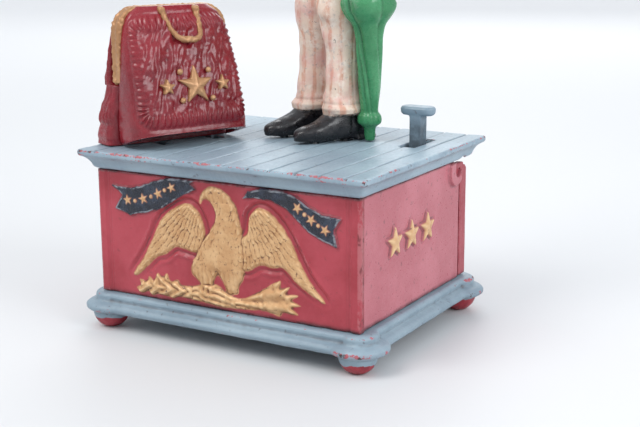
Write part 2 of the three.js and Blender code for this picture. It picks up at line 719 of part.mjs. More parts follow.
// Two castings: the front of the body and legs, and the back with the whole head.
function figureHalves() {
  const body = join(
    shoe(ANKLE.x, ANKLE.y),
    shoe(-ANKLE.x, -ANKLE.y),
    leg(1),
    leg(-1),
    torso(),
    coatTails(),
    leftArm(),
    head(),
    hat(),
  );
  const shoulderFlat = block([-40, -20, SHOULDER.h - 9], [-SHOULDER.x - 0.4, 20, SHOULDER.h + 9]);
  const screwHoles = FIGURE_SCREWS.map(([x, y]) => rod("z", 1.5, 12, [x, y, 0]));
  const rivetHoles = FIGURE_RIVETS.map(([x, h]) => rod("y", 1.2, 60, [x, 0, h], 10));
  const umbrellaRoom = umbrella(GAP + 0.1);
  const jawPinHole = rod("x", 1 + FIT, 16.4, [0, JAW.y, JAW.h], 12);
  const hollow = cut(body, figureHollow(), shoulderFlat, ...screwHoles, ...rivetHoles, umbrellaRoom, jawPinHole);
  const seat = block([-60, -60, -5], [60, 60, GAP]);
  const whole = cut(hollow, seat);
  const half = GAP / 2;
  const front = whole.intersect(block([-60, -60, -5], [60, SPLIT_Y - half, COLLAR_H - half]));
  const back = whole.subtract(block([-60, -60, -5], [60, SPLIT_Y + half, COLLAR_H + half]));
  return [front, back];
}

// Rolled umbrella, point down, its top edge flared where the folds stand open, with a turned knob handle.
function umbrella(extra = 0) {
  const profile = [
    [0, 0.4],
    [1.8, 0.4],
    [2.2, 3],
    [2.4, 6],
    [4.6, 8],
    [4.8, 10],
    [3.8, 12.4],
    [4.4, 20],
    [5.2, 34],
    [5.6, 42],
    [6.6, 47],
    [10.4, 52],
    [11, 58],
    [8, 68],
    [3.4, 76],
    [1.6, 80],
    [1.6, 103],
    [3.4, 106],
    [3.8, 109],
    [2.6, 112],
    [0, 113],
  ];
  const grown = profile.map(([r, h], i) => [r > 0 ? r + extra : 0, h + (i === 0 ? -extra : i > 18 ? extra : 0)]);
  const dx = UMBRELLA_HAND[0] - UMBRELLA_TIP[0];
  const dy = UMBRELLA_HAND[1] - UMBRELLA_TIP[1];
  const tilt = THREE.MathUtils.radToDeg(Math.atan2(dx, 98));
  const pitch = THREE.MathUtils.radToDeg(Math.atan2(dy, 98));
  return turned(grown, [0, 0, 0], 20)
    .rotate([-pitch, tilt, 0])
    .translate([...UMBRELLA_TIP, 0.4]);
}

// Right arm: an iron casting from shoulder hub to open palm, hung on the arm shaft. Drawn level, then set to its rest.
function rightArm() {
  const hub = rod("x", 7, 7.8, [-SHOULDER.x - 4.6, 0, 0], 20);
  const upper = wire([[-24, 0, 0], [-26.4, -16, -4], [-28, -39, -8]], 5.4, 6, 12);
  const elbow = ball([5.8, 5.8, 5.6], [-28, -39, -8], 14);
  const fore = wire([[-28, -39, -8], [-29.4, -54, -5.6], [-30.4, -70, -2]], 4.8, 5, 12);
  const palm = skin([
    roundedRing(4.6, 8.6, 4, -3.4, -30.8, -78.6),
    roundedRing(5.6, 10, 5, -1.6, -30.8, -78.6),
    roundedRing(5.6, 10, 5, 1, -30.8, -78.6),
  ]);
  const cup = ball([4.2, 7.6, 2.2], [-30.8, -79, 1.8], 14);
  const bore = rod("x", 2 + FIT, 8, [-SHOULDER.x - 3.4, 0, 0], 16);
  const arm = cut(join(hub, upper, elbow, fore, palm), cup, bore);
  return arm.rotate([-ARM_REST, 0, 0]).translate([0, SHOULDER.y, SHOULDER.h]);
}

const armShaft = () => rod("x", 2, 32.7, [-8.1, SHOULDER.y, SHOULDER.h], 16);

// Crank on the arm shaft: a pin that the push rod pulls, and a finger that knocks the jaw's tail.
function armCrank() {
  const lever = join(
    block([CRANK_X - 1.5, -CRANK_R, -1.8], [CRANK_X + 1.5, 0, 1.8]),
    rod("x", 2.4, 3, [CRANK_X, -CRANK_R, 0], 16),
    rod("x", 1, 5.6, [CRANK_X - 3, -CRANK_R, 0], 12),
  ).rotate([-CRANK_REST, 0, 0]);
  const finger = block([-1.2, -0.8, -5.6], [3.4, 0.8, -2.4]).rotate([-25, 0, 0]);
  const sleeve = rod("x", 3.4, 5.8, [4.6, 0, 0], 16);
  const bore = rod("x", 2 + FIT, 9.6, [4.6, 0, 0], 16);
  return cut(join(lever, finger, sleeve), bore).translate([0, SHOULDER.y, SHOULDER.h]);
}

// Wire from the rocker's arm, up the left leg, to a slotted eye on the crank's pin.
function pushRod() {
  const low = SHAFT_Z - 6.6 - LID_TOP;
  const eyeAt = [ROD_TOP[0], ROD_TOP[1], CRANK_TIP_H];
  const wires = bent([[ANKLE.x, ANKLE.y, low], ...ROD_PATH, [...ROD_TOP, CRANK_TIP_H - 1.8]], ROD_R, 10);
  const eye = rod("x", 3, 2, eyeAt, 16);
  const slot = block(
    [eyeAt[0] - 2, eyeAt[1] - 1.9, eyeAt[2] - 1.1],
    [eyeAt[0] + 2, eyeAt[1] + 1.9, eyeAt[2] + 1.1],
  );
  const collar = rod("z", 3.4, 1.6, [ANKLE.x, ANKLE.y, SHAFT_Z + 4.8 - LID_TOP], 16);
  return join(cut(join(wires, eye), slot), collar);
}
const pushRodNut = () =>
  cut(
    rod("z", 3.6, 2, [ANKLE.x, ANKLE.y, SHAFT_Z - 5 - LID_TOP], 6),
    rod("z", ROD_R + GAP, 9, [ANKLE.x, ANKLE.y, SHAFT_Z - 5 - LID_TOP], 12),
  );

// Bearded lower jaw on its own cross pin, with a tail down into the neck.
function beardJaw() {
  const beard = join(
    skin([
      roundedRing(3.4, 3, 2.6, 152.4, 0, -9),
      roundedRing(6.4, 5, 4, 156, 0, -8),
      roundedRing(7.8, 5, 4, 160, 0, -7.4),
      roundedRing(7.6, 4.4, 4, 163.6, 0, -7.8),
    ]),
    block([-3.2, -8, 160], [3.2, -5, 168]),
    block([-3.2, -6, 164.6], [3.2, JAW.y + 2, 168]),
    rod("x", 2.6, 6.4, [0, JAW.y, JAW.h], 12),
  );
  const tail = plate(
    [[-1.2, 168], [-1.2, 147.4], [4.6, 142.6], [4.6, 134.6], [2.3, 134.6], [2.3, 132], [6.2, 132],
     [6.2, 143.2], [1.2, 148], [1.2, 168]],
    2.6,
    "yz",
    -1.3,
  );
  return cut(join(beard, tail), rod("x", 1 + FIT, 12, [0, JAW.y, JAW.h], 12));
}
const jawPin = () => rod("x", 1, 16, [0, JAW.y, JAW.h], 12);

const rivet = ([x, h, front, back]) => rod("y", 0.9, back - front, [x, (front + back) / 2, h], 10);

// ---------- the satchel, in its own frame: length along X, face to -Y, standing on the lid ----------
const SATCHEL_TAILS = [18, 42];
const SATCHEL_LUGS = [12, 48];
const SATCHEL_SCREWS = [
  [28, 12.2],
  [44, 12.2],
];

// Rings of an oblong section given as [height, left, right, front, back, corner].
const stacked = (levels) =>
  skin(
    levels.map(([z, x0, x1, y0, y1, r]) =>
      roundedRing((x1 - x0) / 2, (y1 - y0) / 2, r, LID_TOP + z, (x0 + x1) / 2, (y0 + y1) / 2, 3),
    ),
  );

// The moving half. Its foot is bevelled so that it can tip forward on its hinge; a gilt frame edges its mouth.
function satchelFront() {
  const L = SATCHEL_L;
  const outer = stacked([
    [-2, -1, L + 1, -17, 1, 6],
    [8, -1, L + 1, -17, 1, 6],
    [20, -0.4, L + 0.6, -15.4, 1, 5],
    [32, 0.2, L - 0.6, -12.5, 1, 3],
    [44, 1.2, L - 2.4, -8.6, 1, 2.6],
    [51, 3.6, L - 5.4, -5.6, 1, 2.2],
    [SATCHEL_H - 0.4, 8, L - 10, -3.6, 1, 2],
  ]);
  const inner = stacked([
    [-4, 1.6, L - 1.6, -14.4, 3, 4.6],
    [8, 1.6, L - 1.6, -14.4, 3, 4.6],
    [20, 2.2, L - 2, -13, 3, 3.6],
    [32, 2.8, L - 3.2, -10, 3, 2],
    [44, 4.2, L - 5.4, -6, 3, 2],
    [50, 8, L - 10, -3.6, 3, 2],
  ]);
  const arch = (x0, x1, top, r, foot) => [
    [x0, foot],
    [x1 + 1, foot],
    [x1, top - r],
    [x1 - r * 0.3, top - r * 0.3],
    [x1 - r, top],
    [x0 + r, top],
    [x0 + r * 0.3, top - r * 0.3],
    [x0, top - r],
  ];
  const frame = cut(
    plate(arch(0, L - 1.4, LID_TOP + SATCHEL_H, 9, LID_TOP + 25), 6.5, "xz", 0),
    plate(arch(2.6, L - 4, LID_TOP + SATCHEL_H - 2.8, 7, LID_TOP + 10), 12, "xz", -2),
  );
  const bevel = plate(
    [
      [12, LID_TOP - 30],
      [12, LID_TOP + 0.6],
      [0, LID_TOP + 0.6],
      [-40, LID_TOP + 0.6 + 40 * 0.32],
      [-40, LID_TOP - 30],
    ],
    200,
    "yz",
    -50,
  );
  const handle = wire(
    [[17.4, -4.2, SATCHEL_H - 2.6], [19.4, -7.8, 44.6], [23, -10.8, 40.6], [29.4, -11, 40.2], [33, -8.4, 44.2], [33.4, -4.2, SATCHEL_H - 2.6]].map(
      ([x, y, z]) => [x, y, LID_TOP + z],
    ),
    1.3,
    24,
    8,
    0.5,
  );
  const medallion = plate(star(26, LID_TOP + 24, 8, 3.4), 20, "xz", -16.6).intersect(
    stacked([
      [8, -1, L + 1, -18.2, 1, 3.4],
      [20, -0.4, L + 1, -16.6, 1, 3.4],
      [32, 0, L, -13.7, 1, 3],
      [44, 0.6, L - 1, -9.8, 1, 2.6],
    ]),
  );
  // sloping floor that throws the coin back over the slot
  const chute = plate(
    [[-14, LID_TOP + 20], [-14, LID_TOP + 18], [0.8, LID_TOP + 6.4], [0.8, LID_TOP + 8.4]],
    L - 2.6,
    "yz",
    1.3,
  ).intersect(outer);
  const shell = cut(join(cut(outer, inner), chute, frame, cut(join(handle, medallion), inner)), bevel);
  const tails = SATCHEL_TAILS.map((x) =>
    join(
      block([x - 1.6, -1.6, SATCHEL_PIN_Z], [x + 1.6, 1.6, LID_TOP + 6]),
      block([x - 1.6, -15.6, LID_TOP + 5.4], [x + 1.6, 1.6, LID_TOP + 8]),
      rod("x", 3, 3.2, [x, 0, SATCHEL_PIN_Z], 16),
    ),
  );
  return cut(join(shell, ...tails), rod("x", 1.5 + FIT, 80, [30, 0, SATCHEL_PIN_Z], 12));
}

// The fixed half, screwed down to the lid over the coin slot.
function satchelBack() {
  const L = SATCHEL_L;
  const outer = stacked([
    [GAP, -4.8, L + 1, 1.6, 16.4, 4],
    [12, -4, L + 0.8, 1.6, 15.4, 4],
    [22, -2.6, L, 1.6, 14, 3],
    [24.4, -2.2, L, 6.9, 13.6, 2.6],
    [38, -0.4, L - 1.4, 6.9, 11.4, 1.8],
    [48, 2.4, L - 4, 6.9, 10, 1.2],
    [54, 8, L - 9, 6.9, 9.4, 1],
  ]);
  const inner = stacked([
    [-3, 0.4, L - 1.6, -2, 13.6, 1],
    [12, 0.6, L - 1.8, -2, 12.8, 1],
    [24, 1.6, L - 2.4, -2, 11.2, 1],
    [38, 2.8, L - 4, -2, 9.2, 1],
    [46, 6, L - 7, -2, 8, 1],
  ]);
  const feet = SATCHEL_SCREWS.map(([x, y]) => block([x - 4, y - 2.2, LID_TOP + GAP], [x + 4, y + 2.4, LID_TOP + 6]));
  const holes = SATCHEL_SCREWS.map(([x, y]) => rod("z", 1.5, 9, [x, y, LID_TOP]));
  return cut(join(cut(outer, inner), ...feet), ...holes);
}

const satchelPin = () => rod("x", 1.5, 49, [36.5, 0, SATCHEL_PIN_Z], 12);
function satchelCrank() {
  const x = SATCHEL_CRANK_X;
  const z = SATCHEL_PIN_Z - 1.35;
  const arm = join(
    rod("x", 3.2, 3, [x, 0, SATCHEL_PIN_Z], 16),
    block([x - 1.5, 2.6 - SATCHEL_CRANK_R, z - 1.25], [x + 1.5, 0, z + 1.25]),
    rod("z", 3.2, 2.5, [x, -SATCHEL_CRANK_R, z], 16),
  );
  const slot = [0, -1.1].map((dy) => rod("z", 1.7, 9, [x, dy - SATCHEL_CRANK_R, z], 12));
  return cut(arm, rod("x", 1.5 + FIT, 9, [x, 0, SATCHEL_PIN_Z], 12), ...slot);
}

// Link wire with an upset collar at each side of both arms it joins.
function satchelLink() {
  const [x, y] = LINK_AT;
  const shank = rod("z", 1, 24, [x, y, 56.2], 12);
  const collar = (z) => rod("z", 2.9, 1, [x, y, z], 12);
  return join(shank, ...[67.2, 62.1, SHAFT_Z + 4.1, SHAFT_Z - 4.1].map(collar));
}

// Slotted pan-head screw driven upwards from under the lid.
function panScrew([x, y], base, length) {
  const head = cut(
    rod("z", 3.2, 1.8, [x, y, base - 1.2], 16),
    block([x - 4, y - 0.4, base - 3], [x + 4, y + 0.4, base - 1.3]),
  );
  return head.add(rod("z", 1.2, length, [x, y, base + length / 2 - 0.6], 12));
}

// ---------- assembly ----------
const bank = new THREE.Group();
const figure = new THREE.Group();
figure.position.set(...FIGURE_AT, LID_TOP);
figure.rotation.z = THREE.MathUtils.degToRad(FIGURE_TURN);
const satchel = new THREE.Group();
satchel.position.set(...SATCHEL_AT, 0);
satchel.rotation.z = THREE.MathUtils.degToRad(SATCHEL_TURN);
bank.add(figure, satchel);

bank.add(toMesh("base_plate", basePlate(), BLUE_GREY));
bank.add(toMesh("front_plate", frontPlate(), RED));
bank.add(toMesh("left_plate", sidePlate(-1), RED));
bank.add(toMesh("right_plate", sidePlate(1), RED));
bank.add(toMesh("lid", lid(), BLUE_GREY));
TIE_SCREWS.forEach((at, i) => bank.add(toMesh(`tie_screw_${i + 1}`, tieScrew(at), BARE_STEEL)));

bank.add(toMesh("rear_door", rearDoor(), RED));
bank.add(toMesh("lock_barrel", lockBarrel(), BRASS));
bank.add(toMesh("lock_nut", lockNut(), BRASS));
bank.add(toMesh("lock_plug", lockPlug(), BRASS));
bank.add(toMesh("lock_cam", lockCam(), BARE_STEEL));

bank.add(toMesh("press_lever", pressLever(), BLUE_GREY));
bank.add(toMesh("rocker_shaft", rockerShaft(), BARE_STEEL));
bank.add(toMesh("push_rod_arm", rockerArm(LEFT_ANKLE), BARE_STEEL));
bank.add(toMesh("satchel_arm", rockerArm(LINK_AT), BARE_STEEL));
bank.add(toMesh("return_spring", returnSpring(), BARE_STEEL));
bank.add(toMesh("satchel_link", satchelLink(), BARE_STEEL));

const [figureFront, figureBack] = figureHalves();
figure.add(toMesh("figure_front", figureFront, COAT));
figure.add(toMesh("figure_back", figureBack, COAT));
FIGURE_RIVETS.forEach((at, i) => figure.add(toMesh(`figure_rivet_${i + 1}`, rivet(at), BARE_STEEL)));
FIGURE_SCREWS.forEach((at, i) =>
  figure.add(toMesh(`figure_screw_${i + 1}`, panScrew(at, LID_UNDER - LID_TOP, 9), BARE_STEEL)),
);
figure.add(toMesh("umbrella", umbrella(), GREEN));
figure.add(toMesh("right_arm", rightArm(), COAT));
figure.add(toMesh("arm_shaft", armShaft(), BARE_STEEL));
figure.add(toMesh("arm_crank", armCrank(), BARE_STEEL));
figure.add(toMesh("push_rod", pushRod(), BARE_STEEL));
figure.add(toMesh("push_rod_nut", pushRodNut(), BARE_STEEL));
figure.add(toMesh("beard_jaw", beardJaw(), GREY_BEARD));
figure.add(toMesh("jaw_pin", jawPin(), BARE_STEEL));

satchel.add(toMesh("satchel_front", satchelFront(), CARPET_RED));
satchel.add(toMesh("satchel_back", satchelBack(), CARPET_RED));
satchel.add(toMesh("satchel_pin", satchelPin(), BARE_STEEL));
satchel.add(toMesh("satchel_crank", satchelCrank(), BARE_STEEL));
SATCHEL_SCREWS.forEach((at, i) =>
  satchel.add(toMesh(`satchel_screw_${i + 1}`, panScrew(at, LID_UNDER, 9), BARE_STEEL)),
);

export default bank;
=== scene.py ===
"""Looks for the cast-iron mechanical bank: painted castings, a gentleman, a pleated satchel and a rolled umbrella.

Lengths in tables are millimetres; MM turns them into metres. The figure and the satchel are modelled in their own
frames (X across, -Y forward, Z up from the lid) and then turned and placed by the CAD's own joints.
"""

import json
import math

import bmesh
import bpy
import numpy as np
from mathutils import Matrix, Vector
from mathutils.bvhtree import BVHTree

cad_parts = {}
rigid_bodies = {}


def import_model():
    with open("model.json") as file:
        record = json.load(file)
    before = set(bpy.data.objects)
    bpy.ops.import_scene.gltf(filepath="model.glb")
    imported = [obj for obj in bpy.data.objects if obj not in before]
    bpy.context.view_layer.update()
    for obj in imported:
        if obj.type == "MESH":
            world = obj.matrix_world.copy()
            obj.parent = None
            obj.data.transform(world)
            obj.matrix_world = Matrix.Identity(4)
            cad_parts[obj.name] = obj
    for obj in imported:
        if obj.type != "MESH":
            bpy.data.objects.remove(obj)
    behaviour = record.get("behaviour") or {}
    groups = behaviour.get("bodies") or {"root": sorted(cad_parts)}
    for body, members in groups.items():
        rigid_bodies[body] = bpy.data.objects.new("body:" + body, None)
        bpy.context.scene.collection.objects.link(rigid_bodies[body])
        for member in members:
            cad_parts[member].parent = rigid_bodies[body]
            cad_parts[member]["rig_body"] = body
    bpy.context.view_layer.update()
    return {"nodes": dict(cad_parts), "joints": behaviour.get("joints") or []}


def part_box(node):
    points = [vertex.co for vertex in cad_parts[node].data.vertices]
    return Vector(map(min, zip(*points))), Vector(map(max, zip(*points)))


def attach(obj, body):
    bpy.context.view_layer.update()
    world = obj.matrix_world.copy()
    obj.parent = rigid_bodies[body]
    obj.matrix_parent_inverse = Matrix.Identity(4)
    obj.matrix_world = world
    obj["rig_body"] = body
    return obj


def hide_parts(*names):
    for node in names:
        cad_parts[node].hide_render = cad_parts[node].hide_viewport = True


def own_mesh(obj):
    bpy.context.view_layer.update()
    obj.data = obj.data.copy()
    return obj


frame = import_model()
MM = 0.001
LID_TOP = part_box("lid")[1].z / MM


def joint_frame(name):
    """Turn (radians about Z) and place on the lid (mm) of the frame whose X axis is a joint's axis."""
    joint = next(j for j in frame["joints"] if j["name"] == name)
    x, y, _ = np.array(joint["pos_m"]) / MM
    return math.atan2(joint["axis"][1], joint["axis"][0]), np.array([x, y, LID_TOP])


FIGURE_TURN, FIGURE_AT = joint_frame("jaw_nod")
SATCHEL_TURN, SATCHEL_AT = joint_frame("satchel_open")


def turned(points, turn, place):
    c, s = math.cos(turn), math.sin(turn)
    p = np.asarray(points, float)
    x, y = p[..., 0] * c - p[..., 1] * s, p[..., 0] * s + p[..., 1] * c
    return np.stack([x, y, p[..., 2]], -1) + place


def on_figure(points):
    return turned(points, FIGURE_TURN, FIGURE_AT)


def on_satchel(points):
    return turned(points, SATCHEL_TURN, SATCHEL_AT)


# ---------------------------------------------------------------- camera, floor and light
CAMERA_ANGLES = (30.17, 13.15, -0.326)  # azimuth, elevation and roll in degrees, fitted to the photograph
CAMERA_AIM = (12.55, 5.02, 44.25)
CAMERA_DISTANCE = 0.51237  # metres
CAMERA_LENS = 70.8


def camera_and_stage():
    scene = bpy.context.scene
    azimuth, elevation, roll = (math.radians(a) for a in CAMERA_ANGLES)
    level = math.cos(elevation)
    back = Vector((math.sin(azimuth) * level, -math.cos(azimuth) * level, math.sin(elevation)))
    right = Vector((math.cos(azimuth), math.sin(azimuth), 0))
    up = back.cross(right)
    x = right * math.cos(roll) + up * math.sin(roll)
    y = back.cross(x)
    data = bpy.data.cameras.new("camera")
    data.lens, data.sensor_width, data.clip_start, data.clip_end = CAMERA_LENS, 36.0, 0.01, 60
    camera = bpy.data.objects.new("camera", data)
    place = Vector(CAMERA_AIM) * MM + back * CAMERA_DISTANCE
    camera.matrix_world = Matrix.Translation(place) @ Matrix((x, y, back)).transposed().to_4x4()
    scene.collection.objects.link(camera)
    scene.camera = camera
    scene.view_settings.view_transform = "Standard"

    # a bowl of pale paper: a flat disc that bends up into a wall far from the object
    flat, bend, sides = 4.0, 1.5, 48
    rings = [(r, 0.0) for r in np.geomspace(0.02, flat, 24)]
    rings += [(flat + bend * math.sin(a), bend * (1 - math.cos(a))) for a in np.linspace(0.08, math.pi / 2, 16)]
    rings += [(flat + bend, z) for z in (1.6, 2.4)]
    angles = np.linspace(0, 2 * math.pi, sides, endpoint=False)
    verts = [(r * math.cos(a), r * math.sin(a), z) for r, z in rings for a in angles]
    faces = [
        (i * sides + j, i * sides + (j + 1) % sides, (i + 1) * sides + (j + 1) % sides, (i + 1) * sides + j)
        for i in range(len(rings) - 1)
        for j in range(sides)
    ] + [tuple(range(sides))[::-1]]
    mesh = bpy.data.meshes.new("floor")
    mesh.from_pydata(verts, [], faces)
    mesh.polygons.foreach_set("use_smooth", [True] * len(faces))
    floor = bpy.data.objects.new("floor", mesh)
    scene.collection.objects.link(floor)
    g = Graph("floor_paper")
    away = g.add("ShaderNodeVectorMath", operation="LENGTH")
    g.join(away.inputs[0], g.place)
    # painted light: the paper is darker near the object, where the lamps are strong, and paler far off, where they are
    # weak
    near = g.mix(g.noise(1.2, 2), (0.615, 0.625, 0.64, 1), (0.635, 0.645, 0.655, 1))
    g.set("Base Color", g.mix(g.ramp(away.outputs["Value"], 0.5, 2.2), near, (0.90, 0.905, 0.915, 1)))
    g.set("Roughness", 0.55)
    g.set("Specular IOR Level", 0.25)
    mesh.materials.append(g.mat)

    world = bpy.data.worlds.new("world")
    world.use_nodes = True
    background = world.node_tree.nodes["Background"]
    background.inputs[0].default_value = (0.90, 0.93, 0.97, 1)
    background.inputs[1].default_value = 0.98
    scene.world = world
    for name, place, size, power, tint in (
        ("key", (-0.5, -0.9, 1.25), 0.9, 12, (1, 0.985, 0.96)),
        ("right", (1.3, -0.15, 0.75), 0.9, 10, (0.97, 0.985, 1)),
        ("rim", (-0.5, 1.2, 0.9), 1.0, 6, (1, 1, 1)),
    ):
        light = bpy.data.lights.new(name, "AREA")
        light.shape, light.size, light.energy, light.color = "DISK", size, power, tint
        lamp = bpy.data.objects.new(name, light)
        lamp.location = place
        lamp.rotation_euler = (Vector((0, 0, 0.1)) - Vector(place)).to_track_quat("-Z", "Y").to_euler()
        scene.collection.objects.link(lamp)


# ---------------------------------------------------------------- shader graphs
class Graph:
    """A Principled material with short calls for the nodes used here. Positions are object positions in metres."""

    def __init__(self, name):
        self.mat = bpy.data.materials.new(name)
        self.mat.use_nodes = True
        self.tree = self.mat.node_tree
        self.bsdf = self.tree.nodes["Principled BSDF"]
        self.place = self.add("ShaderNodeTexCoord").outputs["Object"]

    def add(self, kind, **settings):
        node = self.tree.nodes.new(kind)
        for key, value in settings.items():
            setattr(node, key, value)
        return node

    def join(self, socket, value):
        if isinstance(value, bpy.types.NodeSocket):
            self.tree.links.new(value, socket)
        else:
            socket.default_value = value

    def set(self, name, value):
        self.join(self.bsdf.inputs[name], value)

    def math(self, operation, a, b=0.0, clamp=False):
        node = self.add("ShaderNodeMath", operation=operation, use_clamp=clamp)
        self.join(node.inputs[0], a)
        self.join(node.inputs[1], b)
        return node.outputs[0]

    def scaled(self, x, y, z):
        node = self.add("ShaderNodeMapping")
        self.join(node.inputs["Vector"], self.place)
        node.inputs["Scale"].default_value = (x, y, z)
        return node.outputs[0]

    def noise(self, scale, detail=4.0, roughness=0.55, vector=None):
        node = self.add("ShaderNodeTexNoise")
        self.join(node.inputs["Vector"], vector or self.place)
        for key, value in (("Scale", scale), ("Detail", detail), ("Roughness", roughness)):
            node.inputs[key].default_value = value
        return node.outputs[0]

    def cells(self, scale):
        node = self.add("ShaderNodeTexVoronoi")
        self.join(node.inputs["Vector"], self.place)
        node.inputs["Scale"].default_value = scale
        return node.outputs["Distance"]

    def ramp(self, value, low, high, to_low=0.0, to_high=1.0):
        node = self.add("ShaderNodeMapRange", interpolation_type="SMOOTHSTEP")
        for socket, v in zip(node.inputs, (value, low, high, to_low, to_high)):
            self.join(socket, v)
        return node.outputs[0]

    def mix(self, factor, a, b):
        node = self.add("ShaderNodeMix", data_type="RGBA")
        self.join(node.inputs[0], factor)
        self.join(node.inputs[6], a)
        self.join(node.inputs[7], b)
        return node.outputs[2]

    def attribute(self, name, colour=False):
        node = self.add("ShaderNodeAttribute", attribute_name=name)
        return node.outputs["Color" if colour else "Fac"]

    def bump(self, *layers):
        """Layers of (height, strength, distance in metres), stacked."""
        normal = None
        for height, strength, distance in layers:
            node = self.add("ShaderNodeBump")
            self.join(node.inputs["Height"], height)
            node.inputs["Strength"].default_value = strength
            node.inputs["Distance"].default_value = distance
            if normal:
                self.join(node.inputs["Normal"], normal)
            normal = node.outputs[0]
        self.join(self.bsdf.inputs["Normal"], normal)


def rgb(r, g, b):
    """An sRGB colour in 0..255 as linear RGBA."""
    return tuple((c / 255 / 12.92) if c < 10.3 else ((c / 255 + 0.055) / 1.055) ** 2.4 for c in (r, g, b)) + (1.0,)


PINK = rgb(176, 112, 116)


def paint(name, base, second, wear, gloss=0.42, amount=1.0, streak=None, dirt_and_shade=rgb(66, 48, 46), edge=(0.10, 0.26),
          hollow=(0.05, 0.3)):
    """Old enamel on cast iron: two tones, dark specks, a darker colour in its hollows, worn edges and a pebbled
    surface.

    amount scales the wear; edge and hollow are the heights (mm, as bend_layer measures them) where wear and darkening
    of hollows start and where they are full. On the satchel the darkened hollows are painted shade in its folds."""
    g = Graph(name)
    bend = g.attribute("bend")
    fine = g.noise(900, 3, 0.6)
    tone = g.mix(g.ramp(g.noise(38, 5, 0.6), 0.36, 0.66), base, second)
    if streak:
        tone = g.mix(g.ramp(g.noise(1, 4, 0.6, g.scaled(*streak)), 0.42, 0.75, 0, 0.45), tone, second)
    specks = g.ramp(g.noise(420, 2, 0.5), 0.66, 0.75)
    tone = g.mix(g.math("MULTIPLY", specks, 0.5 * amount), tone, dirt_and_shade)
    # hollows are darkened towards the dark colour: on the satchel this is painted shade in the folds
    sunk = g.math("MULTIPLY", g.ramp(bend, -hollow[0], -hollow[1]), g.ramp(g.noise(120, 4), 0.3, 0.6, 0.5, 1.0))
    tone = g.mix(g.math("MULTIPLY", sunk, 0.75), tone, dirt_and_shade)
    # a chip opens where an edge stands proud and the noise is high: large slow patches broken up by small ones
    patchy = g.math("ADD", g.ramp(g.noise(60, 4, 0.6), 0.4, 0.7, -0.3, 0.2),
        g.ramp(g.noise(620, 5, 0.8), 0.34, 0.66, -0.34, 0.34))
    proud = g.math("ADD", g.ramp(bend, *edge), patchy)
    chips = g.math("MULTIPLY", g.math("MULTIPLY", g.ramp(proud, 0.78, 0.88), g.ramp(bend, edge[0] * 0.6, edge[0])),
        amount, True)
    flakes = g.ramp(g.noise(110, 6, 0.72), 0.70, 0.73, 0, min(1, amount))
    chips = g.math("MAXIMUM", chips, flakes)
    under = g.mix(g.ramp(g.noise(260, 3), 0.52, 0.6), wear, dirt_and_shade)
    tone = g.mix(chips, tone, under)
    g.set("Base Color", tone)
    g.set("Roughness", g.ramp(g.math("ADD", fine, g.math("MULTIPLY", chips, 0.35)), 0.2, 1.0, gloss - 0.1,
        gloss + 0.26))
    g.set("Specular IOR Level", 0.5)
    g.bump((g.noise(160, 4, 0.6), 0.16, 0.0009), (fine, 0.22, 0.0003), (chips, -0.25, 0.0003))
    return g


def metal(name, base, dark, gloss=0.32):
    g = Graph(name)
    tone = g.mix(g.ramp(g.noise(70, 5, 0.6), 0.35, 0.7), base, dark)
    tone = g.mix(g.ramp(g.noise(600, 3, 0.6), 0.62, 0.72, 0, 0.55), tone, rgb(88, 60, 42))
    g.set("Base Color", tone)
    g.set("Metallic", 1.0)
    g.set("Roughness", g.ramp(g.noise(300, 4), 0.3, 0.75, gloss - 0.06, gloss + 0.22))
    g.bump((g.noise(500, 3), 0.15, 0.0003))
    return g


# ---------------------------------------------------------------- mesh tools
def settle(name, mesh, body, material, replaced=()):
    """The mesh as a finished piece that rides on its body and stands for the CAD nodes it replaces."""
    piece = bpy.data.objects.new(name, mesh)
    bpy.context.scene.collection.objects.link(piece)
    mesh.materials.clear()
    mesh.materials.append(material)
    mesh.polygons.foreach_set("use_smooth", [True] * len(mesh.polygons))
    bend_layer(mesh)
    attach(piece, body)
    if replaced:
        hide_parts(*replaced)
    return piece


def shifted(faces, start):
    return [tuple(v + start for v in face) for face in faces]


def gathered(parts):
    """Points and faces of several parts (points, faces, ...) as one list of each."""
    faces, start = [], 0
    for part in parts:
        faces += shifted(part[1], start)
        start += len(part[0])
    return np.vstack([part[0] for part in parts]), faces


def make_mesh(name, points, faces):
    mesh = bpy.data.meshes.new(name)
    mesh.from_pydata([tuple(p) for p in np.asarray(points, float) * MM], [], faces)
    mesh.validate()
    mesh.update()
    bm = bmesh.new()
    bm.from_mesh(mesh)
    bmesh.ops.recalc_face_normals(bm, faces=bm.faces)
    bm.to_mesh(mesh)
    bm.free()
    return mesh


def baked(name, mesh, kind, **settings):
    """The mesh with one modifier applied."""
    ob = bpy.data.objects.new("work", mesh)
    bpy.context.scene.collection.objects.link(ob)
    modifier = ob.modifiers.new(kind.lower(), kind)
    for key, value in settings.items():
        setattr(modifier, key, value)
    done = bpy.data.meshes.new_from_object(ob.evaluated_get(bpy.context.evaluated_depsgraph_get()))
    bpy.data.objects.remove(ob)
    done.name = name
    return done


def remeshed(name, mesh, voxel):
    return baked(name, mesh, "REMESH", mode="VOXEL", voxel_size=voxel * MM, adaptivity=0.0)


def points_of(mesh):
    p = np.empty(len(mesh.vertices) * 3, np.float32)
    mesh.vertices.foreach_get("co", p)
    return p.reshape(-1, 3).astype(float) / MM


def set_points(mesh, points):
    mesh.vertices.foreach_set("co", (np.asarray(points) * MM).astype(np.float32).ravel())
    mesh.update()


def normals_of(mesh):
    n = np.empty(len(mesh.vertices) * 3, np.float32)
    mesh.vertex_normals.foreach_get("vector", n)
    return n.reshape(-1, 3).astype(float)


def neighbours(mesh):
    """A function that sums each vertex's neighbours, column by column, and each vertex's count of them."""
    edges = np.empty(len(mesh.edges) * 2, np.int32)
    mesh.edges.foreach_get("vertices", edges)
    a, b = edges.reshape(-1, 2).T
    size = len(mesh.vertices)

    def total(data):
        return np.stack([np.bincount(a, q[b], size) + np.bincount(b, q[a], size) for q in data.T], -1)

    return total, (np.bincount(a, minlength=size) + np.bincount(b, minlength=size))[:, None]


